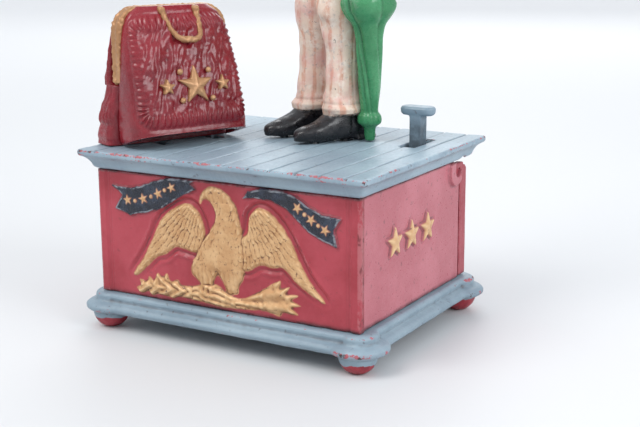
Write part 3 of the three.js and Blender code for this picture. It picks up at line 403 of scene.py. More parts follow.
def smoothed(mesh, rounds, strength):
    """Where the vertices go after rounds of Laplacian smoothing."""
    total, count = neighbours(mesh)
    p = points_of(mesh)
    for _ in range(rounds):
        p += strength * (total(p) / np.maximum(count, 1) - p)
    return p


def colour_layer(mesh, name, values):
    layer = mesh.attributes.new(name, "FLOAT_COLOR", "POINT")
    layer.data.foreach_set("color", np.asarray(values, np.float32).ravel())


def value_layer(mesh, name, values):
    layer = mesh.attributes.new(name, "FLOAT", "POINT")
    layer.data.foreach_set("value", np.asarray(values, np.float32))


def bend_layer(mesh):
    """How far each vertex stands proud of its surroundings, in mm: positive on edges, negative in hollows."""
    proud = points_of(mesh) - smoothed(mesh, 9, 0.6)
    value_layer(mesh, "bend", (proud * normals_of(mesh)).sum(1))


def smooth_noise(p, size, seed=0):
    """Value noise in -1..1 at points p, with features about size across."""
    q = np.asarray(p, float) / size
    i = np.floor(q).astype(np.int64)
    f = q - i
    f = f * f * (3 - 2 * f)
    total = 0.0
    for dx in (0, 1):
        for dy in (0, 1):
            for dz in (0, 1):
                k = (i[..., 0] + dx) * 374761393 + (i[..., 1] + dy) * 668265263 + (i[..., 2]
                    + dz) * 69069069 + seed * 362437
                k = ((k ^ (k >> 13)) * 1274126177) & 0xFFFFFFFF
                value = ((k ^ (k >> 16)) & 0xFFFF) / 32767.5 - 1
                w = (f[..., 0] if dx else 1 - f[..., 0]) * (f[..., 1] if dy else 1 - f[..., 1]) * (f[..., 2]
                    if dz else 1 - f[..., 2])
                total = total + w * value
    return total


def hump(x, centre, width):
    """A smooth rise to 1 at centre, gone about two widths away."""
    return np.exp(-(((x - centre) / width) ** 2))


def step(x, low, high):
    """0 at low and before it, 1 at high and after it, smooth between. low may be the larger."""
    t = np.clip((np.asarray(x, float) - low) / (high - low), 0, 1)
    return t * t * (3 - 2 * t)


def spline(rows, count):
    """Catmull-Rom through table rows, resampled to count rows."""
    rows = np.asarray(rows, float)
    padded = np.vstack([2 * rows[0] - rows[1], rows, 2 * rows[-1] - rows[-2]])
    t = np.linspace(0, len(rows) - 1 - 1e-9, count)
    i = t.astype(int)
    f = (t - i)[:, None]
    a, b, c, d = (padded[i + k] for k in range(4))
    return 0.5 * (2 * b + (c - a) * f + (2 * a - 5 * b + 4 * c - d) * f**2 + (3 * b - a - 3 * c + d) * f**3)


def ring(a, b, count=32, power=2.3):
    """A flat superellipse of half sizes a, b, anticlockwise from +X."""
    t = np.linspace(0, 2 * math.pi, count, endpoint=False)
    c, s = np.cos(t), np.sin(t)
    return np.stack([a * np.sign(c) * np.abs(c) ** (2 / power), b * np.sign(s) * np.abs(s) ** (2 / power)], -1)


def loft(rings):
    """Points and faces of a skin through rings of as many points each, closed at both ends."""
    rings = np.asarray(rings, float)
    m, n = rings.shape[:2]
    faces = [
        (i * n + j, i * n + (j + 1) % n, (i + 1) * n + (j + 1) % n, (i + 1) * n + j) for i in range(m - 1)
        for j in range(n)
    ]
    faces += [tuple(reversed(range(n))), tuple(range((m - 1) * n, m * n))]
    return rings.reshape(-1, 3), faces


def tower(table, count=30, sides=32, power=2.3):
    """A closed loft up Z from rows [x, y, half width, half depth, height]."""
    rows = spline(table, count)
    out = []
    for x, y, a, b, h in rows:
        r = ring(a, b, sides, power)
        out.append(np.column_stack([r[:, 0] + x, r[:, 1] + y, np.full(sides, h)]))
    return loft(out)


def tube(path, radii, count=24, sides=20, squash=1.0):
    """A closed round tube along path rows [x, y, z] with a radius at each row, its ends domed."""
    rows = spline(np.column_stack([np.asarray(path, float), np.asarray(radii, float)]), count)
    p, r = rows[:, :3], rows[:, 3]
    cap = np.array([0.02, 0.45, 0.8])
    d0, d1 = p[0] - p[1], p[-1] - p[-2]
    d0, d1 = d0 / np.linalg.norm(d0), d1 / np.linalg.norm(d1)
    head = [(p[0] + d0 * r[0] * math.sqrt(1 - k * k) * 0.8, r[0] * k) for k in cap]
    tail = [(p[-1] + d1 * r[-1] * math.sqrt(1 - k * k) * 0.8, r[-1] * k) for k in cap[::-1]]
    p = np.vstack([[h[0] for h in head], p, [t[0] for t in tail]])
    r = np.concatenate([[h[1] for h in head], r, [t[1] for t in tail]])
    tangent = np.gradient(p, axis=0)
    tangent /= np.linalg.norm(tangent, axis=1)[:, None]
    side = np.cross(tangent[0], [0.13, 0.21, 0.97])
    side /= np.linalg.norm(side)
    out = []
    angle = np.linspace(0, 2 * math.pi, sides, endpoint=False)
    for i in range(len(p)):
        side = side - tangent[i] * side.dot(tangent[i])
        side /= np.linalg.norm(side)
        other = np.cross(tangent[i], side)
        out.append(p[i] + r[i] * (np.cos(angle)[:, None] * side + squash * np.sin(angle)[:, None] * other))
    return loft(out)


def ball(centre, radii, sides=24, rows=14):
    lat = np.linspace(-math.pi / 2, math.pi / 2, rows + 1)[1:-1]
    out = []
    for a in [-1.45, *lat, 1.45]:
        r = ring(math.cos(a) * radii[0], math.cos(a) * radii[1], sides, 2)
        out.append(np.column_stack([r + np.asarray(centre[:2]), np.full(sides, centre[2] + math.sin(a) * radii[2])]))
    return loft(out)


def fused(name, parts, voxel, rounds=2):
    """Parts (points, faces, tag) joined into one skin by voxel remeshing. Returns the mesh and each vertex's tag."""
    skin = remeshed(name, make_mesh(name, *gathered(parts)), voxel)
    set_points(skin, smoothed(skin, rounds, 0.5))
    p = points_of(skin)
    best = np.full(len(p), 1e9)
    tag = np.zeros(len(p), int)
    for points, faces, which in parts:
        low, high = points.min(0) - 4, points.max(0) + 4
        near = np.where(np.all((p > low) & (p < high), axis=1))[0]
        tree = BVHTree.FromPolygons([tuple(v) for v in points], faces)
        for i in near:
            d = tree.find_nearest(p[i])[3]
            if d is not None and d < best[i]:
                best[i], tag[i] = d, which
    return skin, tag


# ---------------------------------------------------------------- plain castings, skinned from their CAD solids
def casting(node, material, voxel=0.45, finish=None):
    """A CAD solid skinned with small even faces, its edges softened and its faces rippled as a foundry leaves them."""
    source = frame["nodes"][node]
    mesh = remeshed(node + "_casting", source.data.copy(), voxel)
    set_points(mesh, smoothed(mesh, 1, 0.5))
    p = points_of(mesh)
    n = normals_of(mesh)
    push = 0.07 * smooth_noise(p, 11, 3) + 0.05 * smooth_noise(p, 3.5, 5) - 0.05
    layers = {}
    if finish:
        extra, layers = finish(p, n)
        push = push + extra
    set_points(mesh, p + n * push[:, None])
    for name, values in layers.items():
        value_layer(mesh, name, values)
    return settle(node + "_casting", mesh, source["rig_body"], material, [node])


PLANKS = (-55.5, -45.3, -35.2, -25, -15, -4.9, 5.2, 15.3, 25.4, 35.6, 45.8, 56)
SIDE_STARS = ((-19.5, 43.4), (-5.5, 43.4), (8.5, 43.4))


def lid_finish(p, n):
    """Uneven plank lines, nicks in the rim and a slightly dished top."""
    x, y, z = p.T
    top = (z > LID_TOP - 1.2) & (n[:, 2] > 0.4)
    wander = lambda k: 0.12 * smooth_noise(np.column_stack([y, y * 0, y * 0 + k]), 9, 13)
    line = np.max([hump(x - k - wander(k), 0, 0.42) for k in PLANKS], axis=0)
    depth = 0.30 + 0.16 * smooth_noise(np.column_stack([x * 0.3, y, z * 0]), 12, 15)
    push = -1.0 * top * depth * line
    push -= top * 0.10 * (0.5 + 0.5 * smooth_noise(np.column_stack([x * 1.4, y * 0.16, z * 0]), 3.0, 17))
    rim = (np.abs(x) / 64.6 > 0.985) | (np.abs(y) / 53.2 > 0.982)
    push -= rim * 0.22 * step(smooth_noise(p, 2.0, 19), 0.1, 0.8)
    return push, {"line": line * top}


def lever_finish(p, n):
    """Under the lid the casting is fettled, so that it clears the return spring when it is pressed."""
    return -0.3 * (p[:, 2] < 70), {}


def side_finish(p, n):
    """Three gilt stars stand on the outer face, each in a shallow groove."""
    x, y, z = p.T
    d = np.max([edge_distance(y, z, star_points(a, b, 6.2, 2.7)) for a, b in SIDE_STARS], axis=0)
    gilt = step(np.abs(x), 59.05, 59.35) * step(d, -0.5, 0.1)
    ridge = gilt * 0.35 * step(d, 0, 1.6)
    groove = -0.28 * hump(d, -0.8, 0.5) * (np.abs(x) > 58.2) * (np.abs(x) < 59.3)
    return np.minimum(ridge, 0.3) + groove, {"gilt": gilt}


# ---------------------------------------------------------------- outlines and masks
def edge_distance(a, b, outline):
    """Signed distance to a closed outline at flat points (a, b): positive inside."""
    q = np.asarray(outline, float)
    best = np.full(np.shape(a), 1e9)
    inside = np.zeros(np.shape(a), bool)
    for (x0, y0), (x1, y1) in zip(q, np.roll(q, -1, 0)):
        dx, dy = x1 - x0, y1 - y0
        t = np.clip(((a - x0) * dx + (b - y0) * dy) / (dx * dx + dy * dy + 1e-12), 0, 1)
        best = np.minimum(best, np.hypot(a - x0 - t * dx, b - y0 - t * dy))
        crossing = ((y0 > b) != (y1 > b)) & (a < (x1 - x0) * (b - y0) / (y1 - y0 + 1e-12) + x0)
        inside ^= crossing
    return np.where(inside, best, -best)


def closed_curve(points, per=6):
    """A smooth closed line through the points, with so many points per span."""
    p = np.asarray(points, float)
    n = len(p)
    t = np.linspace(0, n, n * per, endpoint=False)
    i = t.astype(int)
    f = (t - i)[:, None]
    a, b, c, d = (p[(i + k - 1) % n] for k in range(4))
    return 0.5 * (2 * b + (c - a) * f + (2 * a - 5 * b + 4 * c - d) * f**2 + (3 * b - a - 3 * c + d) * f**3)


def star_points(a, b, outer, inner, turn=0.0):
    """Outline of a five-pointed star about (a, b)."""
    angle = math.pi / 2 + np.arange(10) * math.pi / 5 + turn
    r = np.where(np.arange(10) % 2, inner, outer)
    return np.column_stack([a + r * np.cos(angle), b + r * np.sin(angle)])


# ---------------------------------------------------------------- the front casting: eagle, banners and stiles
EAGLE = {
    "left_wing": [
        [-8, 46], [-10.5, 52.5], [-14.5, 55.6], [-19, 55], [-24, 52], [-29, 47.5], [-33, 40], [-38, 31.5], [-43, 24.6],
        [-40.6, 24], [-35.5, 28.5], [-31, 32.5], [-26.5, 34.2], [-22.5, 37.4], [-17.5, 37.4], [-13, 36.6], [-9, 38],
    ],
    "right_wing": [
        [8, 44], [11.2, 47.5], [12.6, 54], [16.5, 57.4], [21, 56.4], [26.5, 51.6], [30.5, 46], [34, 39], [38.5, 32],
        [44.8, 24.6], [38.5, 27.2], [32, 31.2], [27, 35.4], [22, 35.2], [17, 35.4], [11, 32.4], [6, 34],
    ],
    "body": [
        [-9.6, 56.2], [-10.1, 58.6], [-9.1, 60.8], [-7.0, 62.6], [-4.2, 63.4], [-0.5, 62.8], [3.2, 60.6], [6.2, 57],
        [8, 52], [9.4, 45], [10.4, 38],
        [9.8, 33], [9.2, 28.8], [7.0, 25.4], [6.4, 22.6], [1.6, 22.0], [0.6, 25.0], [-1.0, 27.6], [-2.8, 28.8],
        [-4.2, 26.6],
        [-4.8, 23.0], [-10.2, 22.6], [-11.2, 25.2], [-14.6, 28], [-14.8, 31.4], [-12.2, 36],
        [-9, 42], [-4.6, 47.5], [-3, 52.6], [-4.4, 56.2], [-6.4, 57.9], [-8.4, 57.8],
    ],
    "perch": [
        [-42, 18.6], [-39.6, 20.2], [-40.2, 22.4], [-37, 22], [-35.4, 24.2], [-33, 22.8], [-31.2, 26], [-29, 24.8],
        [-26.6, 26.4],
        [-25, 23.6], [-21.4, 24.4], [-19.6, 22.6], [-14, 23.2], [-8, 25.2], [-2, 24.8], [3, 22], [9, 21.6], [16, 25.2],
        [21.4, 28.6], [25.4, 30.6], [25.6, 27.8], [29.8, 29], [28.2, 26], [33.2, 26], [30.4, 23.8], [34.4, 22.2],
        [30.6, 21], [33, 18.4], [27, 18.6], [24.8, 16.8], [18, 18], [10, 17.2], [0, 16.6], [-10, 17.2], [-20, 17.8],
        [-24, 16.8],
        [-30, 17.4], [-34, 16.6], [-36, 17.6], [-39.6, 16.8],
    ],
}
BANNERS = {
    "left": [
        [-52, 59.4], [-46.6, 56], [-50.6, 50.2], [-43, 48.2], [-35, 50], [-27, 52.8], [-19.5, 57.6], [-11.4, 61.6],
        [-14, 63.6], [-11.6, 64.8], [-18, 64.9], [-25, 64.6], [-32, 62.6], [-38, 60.2], [-44, 59],
    ],
    "right": [
        [9.6, 60.2], [12, 63.4], [18, 64.8], [25, 64.8], [32, 63.8], [38, 60.4], [44, 57.8], [51.6, 57.2],
        [48.6, 52.6], [50.2, 46.4], [43.6, 48.2], [37.6, 51], [33, 55], [28.4, 58.6], [22, 60.8], [15.6, 61.2],
    ],
}
# gilt ornaments on the banners: [X, Z, star radius, turn in degrees]; radius under 1 is a round stud
ORNAMENTS = [
    (-44, 54.2, 2.2, 10), (-36.4, 55.4, 2.2, 18), (-29, 58.2, 2.2, 22), (-22.6, 61.2, 2.0, 24),
    (-40.3, 54.2, 0.75, 0), (-32.6, 56.7, 0.75, 0), (-25.8, 59.9, 0.75, 0),
    (33.8, 59.4, 2.2, -30), (39.4, 55.6, 2.2, -30), (45.2, 52.4, 2.2, -24), (36.7, 57.3, 0.75, 0),
    (42.3, 53.8, 0.75, 0),
]


def feathers(x, z, fan, widths, reaches, sweep):
    """Tiers of overlapping feathers that fan from one point: height of the surface above the wing's own dome."""
    r = np.hypot(x - fan[0], z - fan[1])
    angle = np.arctan2(x - fan[0], fan[1] - z) * sweep
    r = r + 0.8 * smooth_noise(np.stack([x, z, 0 * x], -1), 2.6, 7)
    angle = angle + 0.02 * smooth_noise(np.stack([x, z, 0 * x], -1), 2.2, 8)
    out = np.zeros_like(x)
    done = np.zeros(x.shape, bool)
    start = 0.0
    for k, (w, reach) in enumerate(zip(widths, reaches)):
        phase = angle / math.radians(w) + 0.5 * (k % 2)
        u = phase - np.floor(phase) - 0.5
        tip = reach - 1.5 * (2 * u) ** 2 + 0.7 * np.sin(np.floor(phase) * 2.4)
        here = (r < tip) & ~done
        along = np.clip((r - start) / max(reach - start, 1), 0, 1)
        barb = 0.07 * np.sin((r * 1.5 + np.abs(u) * 9) * 2.0)
        shape = 0.42 * (1 - np.abs(2 * u) ** 1.6) - 0.20 * np.exp(-((u / 0.10) ** 2)) + 0.22 * along + barb - 0.10 * k
        out = np.where(here, shape, out)
        done |= here
        start = reach
    return out


def plumes(x, z, low, high, seed):
    """Ragged overlapping body feathers, the upper rows over the lower ones."""
    draw = np.random.default_rng(seed)
    out = np.full_like(x, -0.1)
    done = np.zeros(x.shape, bool)
    for row, cz in enumerate(np.arange(high, low, -1.75)):
        for cx in np.arange(-17, 14, 2.5) + 1.25 * (row % 2):
            jx, jz, tilt, rise = draw.uniform((-0.5, -0.6, -0.22, -0.1), (0.5, 0.6, 0.22, 0.16))
            a, b = x - cx - jx - 0.16 * (40 - cz), z - cz - jz
            a, b = a + tilt * b, b - 0.12 * a
            half = 1.45 * np.sqrt(np.clip(1 - (np.minimum(b, 0) / 3.1) ** 2, 0, 1))
            here = (np.abs(a) < half) & (b < 1.6) & (b > -3.1) & ~done
            shape = 0.26 * (1 - (a / 1.5) ** 2) - 0.10 * b - 0.16 * np.exp(-((a / 0.22) ** 2)) + rise
            out = np.where(here, shape, out)
            done |= here
    return out


def front_relief(x, z):
    """Height of the front face above its plane, with its gilt and navy masks."""
    p = np.stack([x, 0 * x, z], -1)
    h = 0.10 * smooth_noise(p, 9, 1) + 0.05 * smooth_noise(p, 2.2, 2)
    gilt = np.zeros_like(x)
    navy = np.zeros_like(x)
    rise = {"left_wing": 1.05, "right_wing": 1.05, "body": 1.2, "perch": 0.95}
    for name, outline in EAGLE.items():
        d = edge_distance(x, z, closed_curve(outline)) + 0.18 * smooth_noise(p, 1.6, 5)
        if name.endswith("wing"):
            # a sunk shadow line follows each wing outside its leading edge
            h -= 0.62 * hump(d, -1.4, 0.8) * step(z, 20, 30)
            h += 0.45 * hump(d, -3.0, 0.8) * step(z, 22, 36)
        top = rise[name] * step(d, -0.5, 1.5)
        if name == "left_wing":
            detail = feathers(x, z, (-7.5, 63), (6.4, 5.6, 4.9, 4.6, 4.4), (11.5, 16.0, 20.5, 26, 60), -1)
        elif name == "right_wing":
            detail = feathers(x, z, (8.5, 64), (6.4, 5.6, 4.9, 4.6, 4.4), (11.5, 16.5, 21.5, 27, 60), 1)
        elif name == "body":
            plumage = plumes(x, z, 29, 58, 14)
            streaks = 0.22 * np.sin(x * 3.1 + 0.25 * z + 1.2 * smooth_noise(p, 3, 6)) + 0.12 * smooth_noise(p, 1.3, 15)
            detail = np.where(z > 57.5, 0.5 * streaks + 0.1, plumage)
            legs = step(-z, -32.5, -30)
            thighs = np.maximum(1 - ((x + 8.2) / 5.6) ** 2 - ((z - 29) / 6.4) ** 2,
                1 - ((x - 3.4) / 5.2) ** 2 - ((z - 30) / 6.4) ** 2)
            detail = detail * (1 - legs) + legs * (0.75 * np.sqrt(np.clip(thighs, 0, 1)) + 0.6 * streaks - 0.5)
            detail = detail - 0.35 * hump(x, -2.4, 0.9) * step(-z, -33, -29)
            top = top - 0.32 + 0.36 * step(d, 0.8, 5.5)
            detail = detail - 0.5 * np.exp(-(((x + 4.3) / 0.75) ** 2 + ((z - 60.8) / 0.7) ** 2))
            detail = detail - 0.22 * np.exp(-(((z - 59.0 + 0.2 * (x + 6)) / 0.35) ** 2)) * step(-x, 5.5, 6.4)
        else:
            # shafts splay out to the right and sprigs of leaves to the left
            splay = np.arctan2(z - 19, x + 4) * 16
            leaf = np.sin((x * 0.8 + np.abs(z - 20.6) * 1.1) * 1.5 + 1.2 * smooth_noise(p, 3, 9))
            grain = np.sin(2.6 * z + 0.5 * x + 1.5 * smooth_noise(p, 3, 10))
            detail = np.where(x > 6, 0.4 * np.sin(splay * 2.2), np.where(x < -14, 0.42 * leaf, 0.26 * grain))
            detail = detail + 0.28 * smooth_noise(p, 1.6, 11) + 0.35 * hump(z, 20.4, 1.1) * (x < 8)
            claws = sum(np.exp(-(((x - c) / 0.7) ** 2)) for c in (-9.8, -7.7, -5.6, 2.0, 4.1, 6.2))
            detail = detail + 0.55 * claws * hump(z, 22.6, 1.7)
        inside = step(d, -0.1, 0.8)
        h = h * (1 - inside) + inside * (top + detail)
        gilt = np.maximum(gilt, step(d, -0.15, 0.25))
    for outline in BANNERS.values():
        d = edge_distance(x, z, outline) + 0.22 * smooth_noise(p, 1.2, 21)
        inside = step(d, -0.45, 0.35)
        wave = 0.14 * np.sin(x * 0.42) + 0.12 * smooth_noise(p, 1.4, 23) + 0.18 * step(-d, -0.9, -0.2)
        h = h * (1 - inside) + inside * (0.85 + wave)
        navy = np.maximum(navy, step(d, -0.25, 0.15))
    for a, b, r, turn in ORNAMENTS:
        if r > 1:
            d = edge_distance(x, z, star_points(a, b, r, r * 0.42, math.radians(turn)))
        else:
            d = r - np.hypot(x - a, z - b)
        inside = step(d, -0.25, 0.3)
        h = h + 0.42 * inside
        gilt = np.maximum(gilt, inside)
        navy = navy * (1 - inside)
    edge = 59 - np.abs(x)
    stile = step(edge, 3.9, 3.4)
    h = h * (1 - stile) + 0.45 * stile
    for line in (4.6, 5.6):
        h -= 0.22 * np.exp(-(((edge - line) / 0.28) ** 2))
    return np.minimum(h, 1.58), gilt, navy


FRONT_RELIEF_PLANE = 3  # the relief rises from a plane this far in front of the plate's back


def front_casting(material):
    """The front plate as a fine grid raised by front_relief, closed by a flat back."""
    low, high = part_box("front_plate")
    x0, x1, z0, z1 = low.x / MM, high.x / MM, low.z / MM, high.z / MM
    back = high.y / MM
    face = back - FRONT_RELIEF_PLANE
    xs, zs = np.linspace(x0, x1, 360), np.linspace(z0, z1, 154)
    x, z = np.meshgrid(xs, zs)
    h, gilt, navy = front_relief(x, z)
    rim = np.minimum.reduce([x - x0, x1 - x, z - z0, z1 - z])
    h = h - 0.5 * (1 - step(rim, -0.4, 0.9))
    points = np.stack([x, face - h, z], -1).reshape(-1, 3)
    m, n = x.shape
    index = np.arange(m * n).reshape(m, n)
    loop = np.concatenate([index[0, :], index[1:, -1], index[-1, -2::-1], index[-2:0:-1, 0]])
    rear = points[loop].copy()
    rear[:, 1] = back
    faces = np.stack([index[:-1, :-1], index[:-1, 1:], index[1:, 1:], index[1:, :-1]], -1).reshape(-1, 4).tolist()
    start = m * n
    k = len(loop)
    faces += [(int(loop[(i + 1) % k]), int(loop[i]), start + i, start + (i + 1) % k) for i in range(k)]
    faces.append(tuple(range(start, start + k)))
    mesh = make_mesh("front_casting", np.vstack([points, rear]), faces)
    value_layer(mesh, "gilt", np.concatenate([gilt.ravel(), np.zeros(k)]))
    value_layer(mesh, "navy", np.concatenate([navy.ravel(), np.zeros(k)]))
    return settle("front_casting", mesh, "bank", material, ["front_plate"])


# ---------------------------------------------------------------- the base, with its ball feet
def rounded(hx, hy, r, z):
    """A level ring in the outline of a rounded rectangle."""
    out = []
    for sx, sy, start in ((1, 1, 0), (-1, 1, 90), (-1, -1, 180), (1, -1, 270)):
        a = np.radians(np.linspace(start, start + 90, 7))
        out.append(np.column_stack([sx * (hx - r) + r * np.cos(a), sy * (hy - r) + r * np.sin(a)]))
    ring_points = np.vstack(out)
    return np.column_stack([ring_points, np.full(len(ring_points), z)])


def lathe(profile, centre=(0, 0, 0), sides=48, oval=(1, 1)):
    a = np.linspace(0, 2 * math.pi, sides, endpoint=False)
    rings = [
        np.column_stack([centre[0] + max(r, 0.01) * oval[0] * np.cos(a), centre[1] + max(r, 0.01) * oval[1] * np.sin(a),
            np.full(sides, centre[2] + h)])
        for r, h in profile
    ]
    return loft(rings)


def box_part(low, high):
    (x0, y0, z0), (x1, y1, z1) = low, high
    square = np.array([[x0, y0], [x1, y0], [x1, y1], [x0, y1]], float)
    return loft([np.column_stack([square, np.full(4, z)]) for z in (z0, z1)])


WALL_X, WALL_Y = 59, 46.7  # half sizes of the box that the plates make
BASE_TIERS = [(3.6, 7), (5.4, 8), (5.6, 9.6), (4.6, 10.8), (2.6, 11.6), (2.4, 12.4), (2.9, 13.4), (2.4, 14.6),
    (1.4, 15)]
LOBE = [(0, 7), (9.4, 7), (11.4, 8), (11.6, 9.6), (10.2, 10.8), (7.6, 11.6), (7.2, 12.4), (7.6, 13.4), (7, 14.6),
    (5.6, 15), (0, 15)]
FOOT = (57, 44.6, 7.5)  # a ball foot's centre from the middle, and its radius
FLOOR_GAP = 0.4  # the balls are set this much low and cut flat at the floor
SCREW_BOSSES = ((-47, 27), (46, -34))


def base_casting(material):
    """The moulded base in tiers, its four ball feet, the ledges that hold the plates and two screw bosses."""
    centres = [(sx * FOOT[0], sy * FOOT[1], FOOT[2] - FLOOR_GAP) for sx in (-1, 1) for sy in (-1, 1)]
    inner = [rounded(WALL_X - 6, WALL_Y - 6, 9, z) for z in (11, 7)]
    moulding = loft(inner + [rounded(WALL_X + o, WALL_Y + o, 3 + o * 0.3, z) for o, z in BASE_TIERS])
    parts = [(*moulding, 0)]
    for sx in (-1, 1):
        for sy in (-1, 1):
            parts.append((*lathe(LOBE, (sx * (FOOT[0] - 0.4), sy * (FOOT[1] - 1.8), 0)), 0))
            parts.append((*ball((sx * FOOT[0], sy * FOOT[1], FOOT[2] - FLOOR_GAP), (FOOT[2],) * 3, 40, 24), 1))
    for low, high in (
        ((-55, -42.8, 14), (55, -40.8, 17)),
        ((-55, -42.8, 14), (-53, 34, 17)),
        ((53, -42.8, 14), (55, 34, 17)),
        ((-9, 34.8, 14), (9, 37.8, 21)),
    ):
        parts.append((*box_part(low, high), 0))
    parts.append((*lathe([(0, 14), (2.4, 14), (2.4, 19.4), (1.8, 20), (0, 20)], (48, 8, 0)), 0))
    for x, y in SCREW_BOSSES:
        parts.append((*lathe([(0, 6.6), (6.6, 6.6), (6.6, 12), (0, 12)], (x, y, 0)), 0))
    mesh, _ = fused("base_casting", parts, 0.55, 1)
    p = points_of(mesh)
    n = normals_of(mesh)
    grain = 0.10 * smooth_noise(p, 5, 3) + 0.06 * smooth_noise(p, 1.8, 4)
    p = p + n * grain[:, None]
    for x, y in SCREW_BOSSES:
        near = (np.hypot(p[:, 0] - x, p[:, 1] - y) < 4.9) & (p[:, 2] < 10.5)
        p[near, 2] = np.maximum(p[near, 2], 10.9)
    p[:, 2] = np.maximum(p[:, 2], 0.0)
    top = p[:, 2] > 14.9
    inside = (np.abs(p[:, 0]) < WALL_X) & (np.abs(p[:, 1]) < WALL_Y)
    p[top & ~inside, 2] = np.minimum(p[top & ~inside, 2], 15.0)
    set_points(mesh, p)
    foot = np.min([np.linalg.norm(p - centre, axis=1) for centre in centres], axis=0)
    runs = 5.6 + 2.2 * smooth_noise(p * (1, 1, 0.4), 6, 43) - 1.6 * (p[:, 1] < 0)
    ball_part = step(FOOT[2] + 1.0 - foot, 0, 0.6) * step(runs - p[:, 2], -0.8, 0.8)
    value_layer(mesh, "foot", ball_part)
    settle("base_casting", mesh, "bank", material, ["base_plate"])


# ---------------------------------------------------------------- the gentleman
TROUSER, SHOE, COAT, SKIN, HAIR, LINEN, VEST, HAT, BAND = range(9)


def trouser(side):
    """A leg from hip to ankle, its turned hem resting on the shoe."""
    rows = [
        (9.8, 0, 7.9, 8.9, 11.4), (9.8, 0, 7.6, 8.5, 14), (9.7, 0, 6.9, 7.6, 19), (9.6, 0, 6.3, 6.9, 26),
        (9.2, 0.4, 6.5, 7.0, 36), (9, -0.4, 7.4, 8.0, 47), (8.8, -0.8, 8.0, 8.7, 53), (8, 0, 7.8, 8.4, 62),
        (7.8, 0.2, 8.5, 9.0, 76), (7.6, 0.4, 8.9, 9.5, 92), (6.4, 0.4, 7.6, 8.4, 101),
    ]
    fixed = [(side * x, y + side * 1.5 * max(0, 1 - h / 70), a, b, h) for x, y, a, b, h in rows]
    return tower(fixed, 60, 40, 2.2)


def shoe(x, y):
    """Loft from heel to pointed toe over a welted sole."""
    rows = [
        # along -Y, half width, top
        (-12.8, 2.2, 8.6), (-11.8, 4.2, 12.0), (-8, 5.2, 14.6), (-3, 5.4, 15.6), (2, 5.4, 14.6), (6, 5.5, 12.4),
        (10, 5.5, 10.0), (14, 5.2, 8.2), (17.6, 4.5, 7.0), (20.6, 3.6, 6.4), (22.4, 2.4, 5.4), (23.3, 0.9, 3.9),
    ]
    out = []
    for along, half, top in spline(rows, 34):
        low = 0.35 + 0.9 * max(0, (along - 14) / 9) ** 2
        r = ring(max(half, 0.3), (top - low) / 2, 28, 2.5)
        out.append(np.column_stack([x + r[:, 0], np.full(28, y - along), low + (top - low) / 2 + r[:, 1]]))
    heel = closed_curve([(-4.4, 12.2), (-4.9, 6), (-4.4, 3.4), (4.4, 3.4), (4.9, 6), (4.4, 12.2), (0, 13)], 4)
    heel_rings = [
        np.column_stack([x + heel[:, 0] * k, y + heel[:, 1], np.full(len(heel), h)])
        for k, h in ((0.98, 0.35), (1.0, 0.8), (0.96, 2.4))
    ]
    return [(*loft(out), SHOE), (*loft(heel_rings), SHOE)]


COAT_ROWS = [  # centre x, centre y, half width, half depth, height
    (0, 0.6, 15.6, 10.6, 86), (0, 0.6, 17.0, 11.6, 92), (0, 0.4, 15.8, 10.9, 101), (0, 0, 15.0, 10.4, 109),
    (0, -0.2, 16.2, 11.4, 121),
    (0, 0, 18.2, 12.2, 133), (0, 0.4, 17.8, 11.4, 141), (0, 0.6, 13.2, 9, 147.4), (0, 0.8, 7.2, 6.8, 151),
]


def umbrella_axis(h):
    """Where the middle of the leaning umbrella is at a height."""
    return 18.6 + 5.8 * h / 98, 8.2 - 4.8 * h / 98


def body_parts():
    parts = [(*trouser(1), TROUSER), (*trouser(-1), TROUSER)]
    parts += shoe(9.8, 1.5) + shoe(-9.8, -1.5)
    parts.append((*tower([(0, 0.5, 15.2, 10.2, 80), (0, 0.5, 15.8, 10.8, 88), (0, 0.5, 14, 9.6, 98)], 12, 40), TROUSER))
    parts.append((*tower(COAT_ROWS, 50, 56, 2.4), COAT))
    for side in (-1, 1):
        tail = [(side * 4.4, 13.2, 3.6, 1.1, 50), (side * 5.6, 12.8, 5.6, 1.3, 60), (side * 7, 11.4, 7.4, 1.8, 76),
                (side * 8, 9.2, 8.6, 2.6, 92), (side * 7.4, 7, 8.4, 3.4, 104)]
        parts.append((*tower(tail, 26, 32, 2.6), COAT))
    # left arm, bent so that the hand closes on the umbrella
    parts.append((*tube([(15.6, 0.8, 142), (18.6, 1.4, 138), (21.2, 2.6, 129), (23.2, 4, 117.5), (23.3, 3.4, 111),
        (23.4, 2.2, 105.4)],
                        (6.4, 6.6, 6.1, 5.9, 5.5, 5.5), 36, 28), COAT))
    parts.append((*tube([(23.45, 2.0, 106), (23.6, 1.7, 102.6)], (5.0, 5.0), 6, 24), LINEN))
    parts.append((*ball((24.1, 2.6, 98.6), (4.4, 4.6, 5.2), 28, 16), SKIN))
    for h in (94.9, 97.3, 99.7, 102.0):
        cx, cy = umbrella_axis(h)
        bends = np.radians((175, 215, 255, 295, 335, 10))
        arc = [(cx + 4.2 * math.cos(a), cy + 4.2 * math.sin(a), h - 0.25 * i) for i, a in enumerate(bends)]
        parts.append((*tube(arc, (1.35, 1.5, 1.55, 1.5, 1.4, 1.2), 22, 14), SKIN))
    parts.append((*tube([(20.6, 0.8, 101.2), (21.6, -1.4, 99), (23.6, -2.4, 96.4)], (1.6, 1.7, 1.3), 12, 14), SKIN))
    # shoulder cap where the right arm hangs, collar and neck cloth
    parts.append((*ball((-13.6, 1.4, 139.4), (4.6, 7.0, 6.6), 28, 16), COAT))
    parts.append((*lathe([(0, 147), (7.4, 147.4), (7.2, 150.4), (6.4, 151.6), (0, 151.8)], (0, 1.4, 0), 40), LINEN))
    return parts


